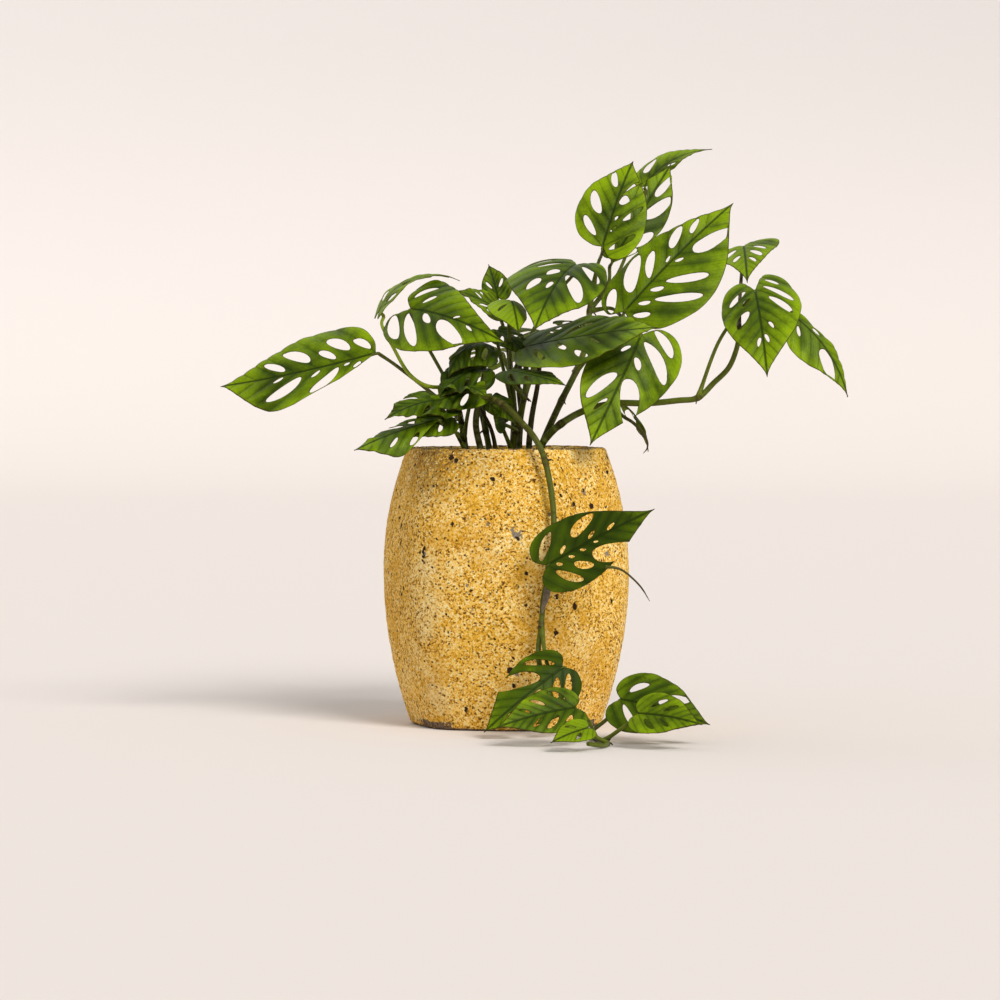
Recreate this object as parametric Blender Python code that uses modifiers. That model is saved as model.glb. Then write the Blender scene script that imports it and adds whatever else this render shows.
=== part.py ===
"""A swiss cheese vine in a pot, built the way the real one is.

A six-sided barrel pot holds a bed of potting mix. The vines stand in holes in the mix. Each vine is one
solid: its stem, with the leaf stalks that grow from it. Each leaf blade is a thin arched sheet with its own
holes, and it sits on the end of its stalk.

Metres, +Z up. The origin is the middle of the pot's foot, on the surface that the pot stands on. -Y is the
front, where the trailing vine comes down over the rim and lies along that surface.
"""

import math
from typing import NamedTuple

import bmesh
import bpy
from mathutils import Matrix, Vector
from mathutils.geometry import delaunay_2d_cdt, intersect_line_line_2d

MM = 0.001

# The pot is a barrel. Its plan is a hexagon with flat sides and well rounded ridges
POT_HEIGHT = 0.204
FOOT_RADIUS = 0.0705
BELLY_RADIUS = 0.0912
RIM_RADIUS = 0.0735
BELLY_HEIGHT = 0.112
POT_WALL = 0.0085
POT_FLOOR = 0.010
LIP_ROUND = 0.0038
FOOT_ROUND = 0.0025
FIRST_RIDGE = math.radians(-71)
POT_SIDES = 6
FLAT_SIDE_DEPTH = 0.0556
POT_STEPS = 24
INNER_HEIGHTS = (0.026, 0.060, 0.100, 0.140, 0.170, 0.188)
OUTER_HEIGHTS = (0.190, 0.174, 0.150, 0.122, 0.092, 0.064, 0.036, 0.012)

# The mix fills the pot to a little under the rim
MIX_HEIGHT = 0.188
MIX_CROWN = 0.003
MIX_SHOULDER = 0.052
MIX_TOP = 0.030
MIX_LUMPS = 0.0012
LUMPS_PER_METRE = (190, 230)
CORNER_INSET = 0.010
SEAT_GAP = 0.0003
HOLE_SLACK = 0.0006
HOLE_SIDES = 12
STEM_FOOT = 0.150
STEM_COLLAR = 0.193

# The veins of a blade leave the midrib at these slopes, in blade lengths
VEIN_LEAN = 0.75
VEIN_FAN = 1.0
VEIN_SWEEP = 0.5

BLADE_THICKNESS = 0.0007
OUTLINE_STEPS = 2
HOLE_POINTS = 7
MIDRIB_POINTS = 6
STALK_RADIUS = 1.5 * MM
STALK_END_RADIUS = 1.1 * MM
STALK_NECK = 4 * MM
STALK_LEAN = math.radians(30)

# A curve's bevel resolution: 0 makes a tube with four sides, and 1 a tube with six
STALK_BEVEL = 0
STEM_BEVEL = 1

# Half of a blade's outline, from the notch at the stalk to the tip: across in half widths, along in lengths
HALF_OUTLINE = (
    (0.0, 0.0),
    (0.30, -0.090),
    (0.72, -0.050),
    (0.98, 0.130),
    (0.98, 0.340),
    (0.76, 0.570),
    (0.32, 0.800),
    (0.07, 0.930),
    (0.0, 1.0),
)
LOBE_REACH = 0.1
WEDGE = 0.25
LEAST_BOW = 1e-4

LEAF_GREEN = (0.075, 0.190, 0.020, 1.0)
STEM_GREEN = (0.120, 0.150, 0.030, 1.0)
GLAZE_YELLOW = (0.620, 0.400, 0.120, 1.0)
MIX_BROWN = (0.045, 0.028, 0.018, 1.0)
LEAF_ROUGHNESS = 0.4
STEM_ROUGHNESS = 0.5
GLAZE_ROUGHNESS = 0.75
MIX_ROUGHNESS = 0.95


class Vine(NamedTuple):
    """A stem: the points that it runs through above the mix, in millimetres, and its radii at its ends."""

    name: str
    points: tuple
    radii: tuple


class Leaf(NamedTuple):
    """A blade and its stalk. Points are in millimetres and angles in degrees.

    node is the point of the vine that the stalk grows from, and via the points that it passes. The blade runs
    from base to tip, and its upper side looks along face. A pair holds the left side and then the right, as
    seen from above with the tip ahead: the greatest widths, the first slopes (fold), how far they curl by the
    margin (cup), how far the lobes reach back (below 1, the side starts as a wedge), and where the shoulders
    lie (below 1, nearer the tip). The midrib arches up by arch and bows to the right by bow. The blade rolls
    over by twist from base to tip, and lean shifts its right side towards the tip.

    A hole is (vein, inner, outer, width): where its vein leaves the midrib, its reach from midrib to margin,
    and its width. A hole that reaches past 1 is torn open at the margin.
    """

    name: str
    vine: str
    node: int
    via: tuple
    base: tuple
    tip: tuple
    face: tuple
    widths: tuple
    arch: float
    left: tuple
    right: tuple
    fold: tuple = (8, 8)
    cup: tuple = (-22, -22)
    lobes: tuple = (1, 1)
    shoulders: tuple = (1, 1)
    lean: float = 0
    bow: float = 0
    twist: float = 0


SLITS = ((0.02, 0.30, 0.80, 0.08), (0.20, 0.25, 0.82, 0.09), (0.40, 0.25, 0.76, 0.08))
TWO_SLITS = ((0.08, 0.32, 0.80, 0.09), (0.32, 0.28, 0.76, 0.09))
ONE_SLIT = ((0.20, 0.30, 0.78, 0.10),)

VINES = (
    Vine(
        "trailing_vine",
        (
            (-18, -24, 200), (-22, -30, 222), (-17, -44, 240), (-3, -58, 236), (10, -68, 224), (21, -79, 211),
            (28, -84, 195), (33, -88, 168), (34, -91, 145), (32, -96, 122), (27, -98, 100), (25, -97, 78),
            (23, -97, 55), (30, -99, 33), (39, -103, 14), (47, -112, 4.0), (56, -130, 2.5), (63, -149, 2.2),
            (68, -168, 2.1), (70, -187, 2.1), (66, -204, 2.2), (56, -216, 4.5),
        ),
        (3.1, 1.6),
    ),
    Vine("left_vine", ((-29, -14, 200), (-31, -16, 211), (-33, -18, 224)), (2.9, 2.0)),
    Vine("mid_left_vine", ((-12, -4, 200), (-15, -4, 216), (-20, -6, 236), (-27, -12, 252)), (2.8, 1.8)),
    Vine("centre_vine", ((5, 10, 200), (6, 11, 228), (4, 13, 254), (2, 17, 276)), (3.0, 2.0)),
    Vine("front_vine", ((5, -12, 200), (7, -13, 216), (13, -14, 240), (15, -12, 258)), (2.6, 1.8)),
    Vine(
        "climbing_vine",
        ((25, 2, 200), (30, 4, 214), (41, 8, 238), (52, 13, 260), (60, 20, 282), (62, 34, 304),
         (65, 42, 322)),
        (3.0, 1.9),
    ),
    Vine(
        "runner_vine",
        (
            (24, -18, 200), (28, -19, 209), (40, -19, 221), (58, -17, 231), (80, -13, 236), (104, -8, 236),
            (126, -3, 238), (141, 1, 240), (153, 5, 251), (164, 9, 262), (170, 12, 276), (172, 14, 288),
        ),
        (3.0, 1.8),
    ),
    Vine("back_vine", ((8, 32, 200), (10, 38, 218), (14, 48, 240), (20, 58, 258)), (2.8, 1.9)),
)

LEAVES = (
    Leaf(
        "left_leaf_outer", "left_vine", 2, ((-50, -18, 240), (-78, -18, 262)),
        (-95, -20, 273), (-211, 16, 248), (0.0, -0.80, 0.60), (31, 36), 8,
        ((0.08, 0.40, 0.86, 0.03), (0.17, 0.10, 0.24, 0.03), (0.19, 0.30, 0.86, 0.07),
         (0.32, 0.10, 0.24, 0.03),
         (0.37, 0.22, 0.84, 0.09), (0.52, 0.12, 0.28, 0.03)),
        ((0.00, 0.14, 0.46, 0.06), (0.10, 0.24, 0.64, 0.08), (0.23, 0.14, 0.44, 0.05),
         (0.38, 0.34, 0.74, 0.09), (0.56, 0.22, 0.66, 0.07)),
        fold=(-6, 10), cup=(0, -26), lobes=(-1, 0.5), shoulders=(0.6, 0.95), bow=-16, twist=-10,
    ),
    Leaf(
        "left_leaf_folded", "mid_left_vine", 3,
        ((-53, -28, 248), (-70, -27, 257), (-83, -14, 278), (-91, -1, 293)),
        (-93, 6, 304), (-34, 20, 326), (-0.36, -0.16, 0.92), (16, 16), 92, TWO_SLITS, TWO_SLITS,
        fold=(4, 4), cup=(-16, -16),
    ),
    Leaf(
        "left_leaf_round", "left_vine", 1, ((-34, -14, 232), (-45, -8, 255), (-60, -4, 282)),
        (-70, -8, 305), (1, -62, 279), (0.05, -0.84, 0.52), (35, 37), 34,
        ((-0.12, 0.34, 0.80, 0.08), (0.04, 0.24, 0.56, 0.05), (0.46, 0.05, 0.34, 0.03)),
        ((-0.16, 0.25, 0.78, 0.10), (0.00, 0.14, 0.90, 0.10), (0.18, 0.08, 0.34, 0.07),
         (0.35, 0.20, 0.91, 0.17), (0.60, 0.06, 0.36, 0.05)),
        fold=(12, 8), cup=(-36, -30), lobes=(1.2, 1.6), shoulders=(2.1, 1),
    ),
    Leaf(
        "left_leaf_low", "left_vine", 1, ((-38, -34, 216),),
        (-48, -56, 225), (-109, -84, 203), (0.0, -0.72, 0.68), (19, 14), 20,
        ((0.22, 0.35, 0.80, 0.07), (0.46, 0.30, 0.70, 0.06)),
        ((0.12, 0.30, 0.82, 0.08), (0.34, 0.40, 1.06, 0.16)),
        fold=(-10, -20), cup=(-10, -30), lobes=(-1, 0.8), shoulders=(0.7, 0.9),
    ),
    Leaf(
        "left_leaf_middle", "left_vine", 2, ((-36, -32, 232),),
        (-42, -44, 238), (-87, -86, 225), (0.05, -0.60, 0.78), (18, 19), 40,
        TWO_SLITS, ((0.05, 0.30, 0.80, 0.07), (0.26, 0.34, 1.06, 0.14)),
        fold=(4, 4), cup=(-34, -34),
    ),
    Leaf(
        "mid_leaf_curled", "mid_left_vine", 2, ((-18, -14, 250), (-14, -18, 268)),
        (-12, -24, 279), (-42, -44, 254), (-0.20, -0.55, 0.80), (22, 20), 110, TWO_SLITS, ONE_SLIT,
        fold=(-10, -10), cup=(-60, -60), lobes=(1, 0.5),
    ),
    Leaf(
        "mid_leaf_flat", "mid_left_vine", 3, ((-34, -26, 244),),
        (-38, -38, 246), (-13, -76, 240), (0.05, -0.30, 0.95), (14, 15), 50, ONE_SLIT, ONE_SLIT,
    ),
    Leaf(
        "centre_leaf_low", "front_vine", 1, ((5, -24, 218),),
        (0, -30, 222), (-12, -50, 236), (0.30, -0.85, 0.25), (11, 11), 30, (), (),
    ),
    Leaf(
        "centre_leaf_slit", "centre_vine", 3, ((-2, 18, 292),),
        (-3, 22, 303), (-37, 14, 319), (0.0, -0.47, 0.88), (19, 18), 20,
        SLITS[:2], SLITS, cup=(-14, -14),
    ),
    Leaf(
        "centre_leaf_top", "centre_vine", 3, ((4, 30, 294), (2, 42, 306)),
        (-6, 46, 314), (-13, 52, 339), (0.25, -0.90, 0.25), (11, 12), 20, ONE_SLIT, ONE_SLIT,
        fold=(14, 14), twist=10,
    ),
    Leaf(
        "centre_leaf_bright", "centre_vine", 2, ((3, -4, 274), (2, -20, 298)),
        (4, -30, 311), (9, -68, 286), (0.05, -0.80, 0.55), (12, 19), 40,
        (), ((0.14, 0.30, 0.75, 0.07),), fold=(-20, 4), cup=(-30, -20),
    ),
    Leaf(
        "centre_leaf_big", "centre_vine", 2, ((16, 22, 282), (34, 26, 312)),
        (52, 8, 338), (20, -70, 288), (-0.12, -0.72, 0.70), (34, 46), 46,
        ((0.06, 0.28, 0.80, 0.09), (0.32, 0.12, 0.76, 0.12)),
        ((-0.16, 0.38, 0.84, 0.07), (0.04, 0.18, 0.52, 0.07), (0.24, 0.12, 0.34, 0.09),
         (0.36, 0.42, 0.70, 0.11)),
        fold=(12, 12), cup=(-36, -50), lobes=(2, 2), shoulders=(0.7, 1), lean=-0.10,
    ),
    Leaf(
        "front_leaf_long", "front_vine", 3, ((14, -8, 268),),
        (14, -14, 277), (109, -82, 291), (0.10, -0.62, 0.75), (32, 36), 8,
        ((0.05, 0.30, 0.78, 0.05), (0.24, 0.25, 0.70, 0.05)),
        ((0.06, 0.25, 0.70, 0.05), (0.24, 0.16, 0.40, 0.05), (0.30, 0.52, 0.86, 0.06),
         (0.48, 0.18, 0.50, 0.04)),
        fold=(6, 4), cup=(-20, -20), lobes=(1, 1.2), shoulders=(0.85, 0.6),
    ),
    Leaf(
        "front_leaf_short", "front_vine", 2, ((6, -26, 249),),
        (1, -34, 258), (44, -76, 248), (0.05, -0.42, 0.90), (13, 16), 12, ONE_SLIT, TWO_SLITS,
        lobes=(0.4, 0.8),
    ),
    Leaf(
        "right_leaf_hanging", "climbing_vine", 3, ((66, 2, 274), (86, -14, 286)),
        (98, -34, 286), (60, -72, 206), (0.28, -0.88, 0.38), (37, 28), 24,
        ((-0.12, 0.24, 0.72, 0.08), (0.03, 0.14, 0.88, 0.10), (0.19, 0.10, 0.30, 0.06),
         (0.44, 0.10, 1.04, 0.20)),
        ((0.10, 0.14, 0.30, 0.03), (0.36, 0.22, 0.84, 0.12), (0.56, 0.26, 0.62, 0.05)),
        fold=(6, 6), cup=(-26, -22), lobes=(1, 0.6), shoulders=(1, 0.8), lean=0.24,
    ),
    Leaf(
        "top_leaf_front", "climbing_vine", 6, ((68, 36, 338),),
        (71, 12, 351), (95, 52, 416), (-0.12, -0.84, 0.54), (28, 27), 30,
        ((0.03, 0.25, 0.70, 0.08), (0.22, 0.36, 0.84, 0.12), (0.60, 0.40, 0.92, 0.08)),
        ((-0.06, 0.20, 0.80, 0.06), (0.18, 0.10, 0.30, 0.06), (0.18, 0.40, 0.90, 0.06),
         (0.46, 0.20, 0.84, 0.15)),
        lobes=(0.5, 1.1), shoulders=(0.85, 1),
    ),
    Leaf(
        "top_leaf_back", "climbing_vine", 5, ((76, 52, 324),),
        (79, 58, 340), (125, 92, 416), (0.22, -0.80, 0.55), (23, 20), 20,
        TWO_SLITS[:1], ((0.07, 0.35, 0.80, 0.06), (0.16, 0.22, 0.86, 0.10), (0.44, 0.14, 0.92, 0.15)),
        lobes=(0, 0), shoulders=(1, 0.7), lean=0.1,
    ),
    Leaf(
        "top_leaf_narrow", "climbing_vine", 5, ((84, 74, 332), (100, 98, 374)),
        (105, 102, 399), (157, 116, 428), (-0.30, -0.60, 0.70), (16, 10), 20,
        ((0.12, 0.40, 0.86, 0.16),), ((0.36, 0.30, 0.70, 0.08),),
        fold=(10, 0), cup=(-10, -10), lobes=(0.6, 0.2), bow=-64, twist=25,
    ),
    Leaf(
        "right_leaf_big", "climbing_vine", 5, ((78, 34, 306),),
        (87, 14, 303), (170, 56, 385), (-0.12, -0.85, 0.50), (29, 43), 18,
        ((-0.08, 0.24, 0.70, 0.08), (0.09, 0.24, 0.92, 0.13), (0.23, 0.14, 0.66, 0.07),
         (0.46, 0.36, 0.90, 0.09),
         (0.62, 0.46, 0.86, 0.07)),
        ((-0.02, 0.18, 0.42, 0.045), (0.07, 0.10, 0.26, 0.035), (0.10, 0.28, 0.88, 0.065),
         (0.18, 0.10, 0.28, 0.04),
         (0.25, 0.24, 0.78, 0.065), (0.43, 0.08, 0.20, 0.03), (0.59, 0.30, 0.88, 0.16)),
        fold=(8, 4), cup=(-34, -14), lobes=(0.9, 0.6), shoulders=(1.1, 0.75), lean=-0.12,
    ),
    Leaf(
        "far_leaf_small", "runner_vine", 11, ((174, 40, 314), (178, 84, 338)),
        (180, 100, 354), (180, 50, 325), (0.0, -0.52, 0.85), (27, 22), 30,
        SLITS, TWO_SLITS, fold=(16, -6), cup=(-14, -20), lobes=(1.7, 0.6), shoulders=(1.7, 1.5),
    ),
    Leaf(
        "far_leaf_round", "runner_vine", 7, ((156, 6, 280), (174, 12, 306)),
        (183, 5, 319), (189, -48, 255), (0.0, -0.78, 0.62), (32, 28), 36,
        ((-0.20, 0.28, 0.60, 0.05), (-0.08, 0.20, 0.84, 0.07), (0.05, 0.30, 0.84, 0.09),
         (0.38, 0.30, 0.50, 0.05),
         (0.57, 0.12, 0.40, 0.07)),
        ((-0.05, 0.25, 0.74, 0.07), (0.08, 0.18, 0.42, 0.05), (0.22, 0.30, 0.76, 0.11),
         (0.60, 0.12, 0.44, 0.07)),
        fold=(14, -4), cup=(-34, -26), lobes=(2.6, 1.6), shoulders=(1.1, 1),
    ),
    Leaf(
        "far_leaf_drooping", "runner_vine", 11, ((186, 26, 302), (200, 34, 308)),
        (210, 32, 303), (253, 20, 240), (0.35, -0.70, 0.55), (11, 23), 26,
        ((0.24, 0.25, 0.60, 0.07),), ((0.10, 0.20, 0.46, 0.05), (0.52, 0.08, 1.05, 0.26)),
        fold=(-10, -10), cup=(-20, -20), lobes=(0.4, 0.4), bow=-34,
    ),
    Leaf(
        "right_leaf_narrow", "runner_vine", 4, ((78, 0, 237),),
        (82, 10, 239), (105, 12, 200), (0.55, 0.40, 0.70), (12, 12), 50, ONE_SLIT, ONE_SLIT,
        fold=(-30, -30), cup=(-20, -20), lobes=(0, 0),
    ),
    Leaf(
        "back_leaf_left", "back_vine", 2, ((2, 62, 260), (-2, 74, 272)),
        (-6, 80, 276), (-34, 128, 244), (-0.15, 0.45, 0.88), (27, 25), 40, SLITS, SLITS,
    ),
    Leaf(
        "back_leaf_middle", "back_vine", 3, ((24, 72, 280),),
        (26, 84, 290), (24, 164, 262), (0.0, 0.45, 0.90), (29, 29), 44, SLITS, SLITS,
    ),
    Leaf(
        "back_leaf_right", "back_vine", 3, ((38, 64, 280),),
        (54, 74, 296), (76, 136, 268), (0.25, 0.45, 0.85), (24, 26), 40, SLITS, SLITS,
    ),
    Leaf(
        "trail_leaf_top", "trailing_vine", 9, ((29, -107, 112),),
        (29, -112, 122), (105, -132, 163), (0.05, -0.93, 0.30), (25, 26), 24,
        ((-0.06, 0.20, 0.80, 0.09), (0.14, 0.08, 0.26, 0.04), (0.24, 0.44, 0.92, 0.13),
         (0.40, 0.14, 0.34, 0.04),
         (0.58, 0.10, 0.40, 0.05)),
        ((0.00, 0.30, 0.86, 0.06), (0.08, 0.12, 0.30, 0.04), (0.14, 0.40, 0.70, 0.06),
         (0.36, 0.36, 1.30, 0.28)),
        shoulders=(1.15, 1),
    ),
    Leaf(
        "trail_leaf_torn", "trailing_vine", 11, ((30, -108, 50),),
        (40, -116, 50), (-16, -134, 5), (0.0, -0.92, 0.35), (27, 25), 30,
        ((-0.06, 0.25, 0.74, 0.08), (0.08, 0.18, 0.60, 0.08), (0.32, 0.16, 1.15, 0.22),
         (0.66, 0.30, 0.66, 0.06)),
        ((-0.02, 0.25, 0.84, 0.06), (0.24, 0.20, 1.15, 0.20)),
        fold=(-4, -4), cup=(-30, -30),
    ),
    Leaf(
        "trail_leaf_right", "trailing_vine", 16, ((73, -150, 18),),
        (80, -152, 30), (142, -176, 14), (0.05, -0.84, 0.54), (25, 25), 24,
        ((0.00, 0.30, 0.66, 0.09), (0.40, 0.22, 0.94, 0.17)),
        ((0.02, 0.20, 0.84, 0.07), (0.20, 0.22, 0.44, 0.05), (0.30, 0.16, 0.32, 0.04),
         (0.48, 0.26, 0.90, 0.13)),
        cup=(-16, -16),
    ),
    Leaf(
        "trail_leaf_left", "trailing_vine", 17, ((57, -172, 17),),
        (48, -176, 26), (-7, -198, 14), (-0.05, -0.82, 0.57), (19, 19), 24,
        SLITS,
        ((0.00, 0.40, 0.84, 0.09), (0.14, 0.14, 0.28, 0.04), (0.26, 0.40, 0.82, 0.08),
         (0.50, 0.35, 0.76, 0.06)),
        cup=(-16, -16),
    ),
    Leaf(
        "trail_leaf_near", "trailing_vine", 18, ((82, -196, 15),),
        (91, -200, 24), (134, -222, 18), (0.05, -0.80, 0.60), (19, 17), 24, TWO_SLITS, TWO_SLITS,
        cup=(-16, -16),
    ),
    Leaf(
        "trail_leaf_tip", "trailing_vine", 19, ((60, -214, 10),),
        (56, -222, 16), (30, -238, 7), (-0.05, -0.70, 0.70), (11, 11), 20, ONE_SLIT, ONE_SLIT, cup=(-16, -16),
    ),
)


def clear_scene():
    """Removes the objects and collections of the startup scene."""
    for thing in list(bpy.data.objects):
        bpy.data.objects.remove(thing)
    for group in list(bpy.data.collections):
        bpy.data.collections.remove(group)


def finish_of(name, colour, roughness):
    """A plain finish of one colour."""
    finish = bpy.data.materials.new(name)
    finish.use_nodes = True
    shader = finish.node_tree.nodes["Principled BSDF"]
    shader.inputs["Base Color"].default_value = colour
    shader.inputs["Roughness"].default_value = roughness
    shader.inputs["Metallic"].default_value = 0.0
    return finish


def object_of(name, mesh, group, finish=None):
    """An object of this mesh in this collection, shaded smooth."""
    made = bpy.data.objects.new(name, mesh)
    group.objects.link(made)
    if finish:
        mesh.materials.append(finish)
    mesh.shade_smooth()
    return made


def smooth_curve(points, steps):
    """Points along a Catmull-Rom curve through these points, with this many steps to a span."""
    points = [Vector(p) for p in points]
    ends = [2 * points[0] - points[1]] + points + [2 * points[-1] - points[-2]]
    found = []
    for before, start, end, after in zip(ends, ends[1:], ends[2:], ends[3:]):
        for step in range(steps):
            t = step / steps
            found.append(
                0.5
                * (
                    2 * start
                    + (end - before) * t
                    + (2 * before - 5 * start + 4 * end - after) * t * t
                    + (3 * start - before - 3 * end + after) * t**3
                )
            )
    return found + [points[-1]]


# The pot and its mix


def pot_radius(height):
    """The pot's radius at a ridge: one parabola up to the belly and another from there to the rim."""
    if height < BELLY_HEIGHT:
        end, reach = FOOT_RADIUS, BELLY_HEIGHT
    else:
        end, reach = RIM_RADIUS, POT_HEIGHT - BELLY_HEIGHT
    return BELLY_RADIUS - (BELLY_RADIUS - end) * ((height - BELLY_HEIGHT) / reach) ** 2


def side_factor(angle):
    """How far the wall lies in at this angle: 1 on a ridge, and least in the middle of a flat side."""
    return 1 - FLAT_SIDE_DEPTH * (1 - math.cos(POT_SIDES * (angle - FIRST_RIDGE))) / 2


def mesh_from(bm, name):
    """The bmesh as a mesh."""
    mesh = bpy.data.meshes.new(name)
    bm.to_mesh(mesh)
    bm.free()
    return mesh


def settled(made):
    """Makes the object's mesh the one that its modifiers give."""
    evaluated = made.evaluated_get(bpy.context.evaluated_depsgraph_get())
    mesh = bpy.data.meshes.new_from_object(evaluated)
    made.modifiers.clear()
    made.data = mesh


def turned(name, profile, group, finish):
    """A closed (radius, height) profile turned once round Z, then pressed to the pot's six-sided plan."""
    section = bpy.data.meshes.new(name)
    corners = [(radius, 0, height) for radius, height in profile]
    section.from_pydata(corners, list(zip(range(len(corners)), range(1, len(corners)))), [])
    made = object_of(name, section, group, finish)
    turn = made.modifiers.new("turn", "SCREW")
    turn.steps = POT_STEPS
    turn.render_steps = POT_STEPS
    turn.use_merge_vertices = True
    turn.merge_threshold = 0.01 * MM
    settled(made)
    for vert in made.data.vertices:
        factor = side_factor(math.atan2(vert.co.y, vert.co.x))
        vert.co.x *= factor
        vert.co.y *= factor
    made.data.shade_smooth()
    return made


def pot_profile():
    """The pot's section, from the middle of its floor, up the inside, over the lip and down to the foot."""
    floor = [(0, POT_FLOOR), (pot_radius(POT_FLOOR) - POT_WALL - CORNER_INSET, POT_FLOOR)]
    inside = [(pot_radius(z) - POT_WALL, z) for z in INNER_HEIGHTS]
    lip_height = POT_HEIGHT - LIP_ROUND
    lip_middle = pot_radius(lip_height) - POT_WALL / 2
    lip = [
        (lip_middle + POT_WALL / 2 * math.cos(a), lip_height + LIP_ROUND * math.sin(a))
        for a in (math.pi, 3 * math.pi / 4, math.pi / 2, math.pi / 4, 0)
    ]
    outside = [(pot_radius(z), z) for z in OUTER_HEIGHTS]
    foot = [(FOOT_RADIUS, FOOT_ROUND), (FOOT_RADIUS - FOOT_ROUND, 0), (0, 0)]
    return floor + inside + lip + outside + foot


def build_pot(group):
    """The pot: an open barrel with a flat foot."""
    return turned("pot", pot_profile(), group, finish_of("pot_glaze", GLAZE_YELLOW, GLAZE_ROUGHNESS))


def mix_profile():
    """The mix's section. It follows the pot's inner wall, a seat gap inside it."""
    inner = POT_WALL + SEAT_GAP
    crown = MIX_HEIGHT + MIX_CROWN
    top = [(0, crown), (MIX_TOP, crown), (MIX_SHOULDER, MIX_HEIGHT + MIX_CROWN * 0.5)]
    wall = [(pot_radius(z) - inner, z) for z in reversed(INNER_HEIGHTS)]
    lowest = POT_FLOOR + SEAT_GAP
    return top + wall + [(pot_radius(POT_FLOOR) - inner - CORNER_INSET, lowest), (0, lowest)]


def build_mix(group, cutters):
    """The bed of potting mix, with a lumpy top and a plain hole for each stem."""
    mix = turned("potting_mix", mix_profile(), group, finish_of("potting_mix", MIX_BROWN, MIX_ROUGHNESS))
    for vert in mix.data.vertices:
        if vert.co.z > MIX_HEIGHT:
            lump = math.sin(LUMPS_PER_METRE[0] * vert.co.x + 1) * math.cos(LUMPS_PER_METRE[1] * vert.co.y)
            vert.co.z += MIX_LUMPS * lump
    for vine in VINES:
        foot = Vector((vine.points[0][0] * MM, vine.points[0][1] * MM, STEM_FOOT - SEAT_GAP))
        depth = MIX_HEIGHT + 3 * MIX_CROWN - foot.z
        hole = bmesh.new()
        bmesh.ops.create_cone(
            hole,
            cap_ends=True,
            segments=HOLE_SIDES,
            radius1=vine.radii[0] * MM + HOLE_SLACK,
            radius2=vine.radii[0] * MM + HOLE_SLACK,
            depth=depth,
            matrix=Matrix.Translation(foot + Vector((0, 0, depth / 2))),
        )
        object_of(f"hole_for_{vine.name}", mesh_from(hole, vine.name), cutters)
    cut = mix.modifiers.new("stem_holes", "BOOLEAN")
    cut.operation = "DIFFERENCE"
    cut.operand_type = "COLLECTION"
    cut.collection = cutters
    cut.solver = "EXACT"
    return mix


# The vines


def tube(name, path, radii, bevel, group):
    """A round tapered tube along this path, as a mesh object whose caps are welded."""
    curve = bpy.data.curves.new(name, "CURVE")
    curve.dimensions = "3D"
    curve.bevel_depth = 1.0
    curve.bevel_resolution = bevel
    curve.use_fill_caps = True
    spline = curve.splines.new("POLY")
    spline.points.add(len(path) - 1)
    for index, (point, place) in enumerate(zip(spline.points, path)):
        share = index / (len(path) - 1)
        point.co = (*place, 1)
        point.radius = radii[0] + (radii[1] - radii[0]) * share
    guide = bpy.data.objects.new(f"{name}_guide", curve)
    group.objects.link(guide)
    evaluated = guide.evaluated_get(bpy.context.evaluated_depsgraph_get())
    mesh = bpy.data.meshes.new_from_object(evaluated)
    bpy.data.objects.remove(guide)
    bm = bmesh.new()
    bm.from_mesh(mesh)
    bmesh.ops.remove_doubles(bm, verts=bm.verts, dist=0.01 * MM)
    bmesh.ops.recalc_face_normals(bm, faces=bm.faces)
    bm.to_mesh(mesh)
    bm.free()
    return object_of(name, mesh, group)


def joined(body, others):
    """Joins these objects to the body with one Boolean union, and removes them."""
    branches = bpy.data.collections.new("branches")
    bpy.context.scene.collection.children.link(branches)
    for other in others:
        for owner in list(other.users_collection):
            owner.objects.unlink(other)
        branches.objects.link(other)
    union = body.modifiers.new("union", "BOOLEAN")
    union.operation = "UNION"
    union.operand_type = "COLLECTION"
    union.collection = branches
    union.solver = "EXACT"
    settled(body)
    for other in others:
        bpy.data.objects.remove(other)
    bpy.data.collections.remove(branches)


def vine_route(vine):
    """The vine's points, with the straight length that stands in the mix."""
    above = [Vector(p) * MM for p in vine.points]
    standing = [Vector((above[0].x, above[0].y, height)) for height in (STEM_FOOT, STEM_COLLAR)]
    return standing + above


def stalk_path(leaf, vine):
    """The stalk's points: from inside the stem at its node to just under the blade's base."""
    blade = Blade(leaf)
    root = Vector(vine.points[leaf.node]) * MM
    gap = BLADE_THICKNESS / 2 + SEAT_GAP
    reach = (gap + STALK_END_RADIUS * math.sin(STALK_LEAN)) / math.cos(STALK_LEAN)
    _, ahead, above = blade.axes(0)
    back = blade.matrix.to_3x3() @ -(ahead * math.sin(STALK_LEAN) + above * math.cos(STALK_LEAN))
    end = Vector(leaf.base) * MM + back * reach
    neck = end + back * STALK_NECK
    return [root] + [Vector(p) * MM for p in leaf.via] + [neck, end]


def build_vine(vine, group, finish):
    """A stem with the stalks of its leaves, as one solid."""
    path = smooth_curve(vine_route(vine), 2)
    stem = tube(vine.name, path, [r * MM for r in vine.radii], STEM_BEVEL, group)
    stalks = []
    for leaf in LEAVES:
        if leaf.vine == vine.name:
            route = smooth_curve(stalk_path(leaf, vine), 2)
            ends = (STALK_RADIUS, STALK_END_RADIUS)
            stalks.append(tube(f"stalk_of_{leaf.name}", route, ends, STALK_BEVEL, group))
    if stalks:
        joined(stem, stalks)
    stem.data.materials.clear()
    stem.data.materials.append(finish)
    stem.data.shade_smooth()
    return stem


# The blades


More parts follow.
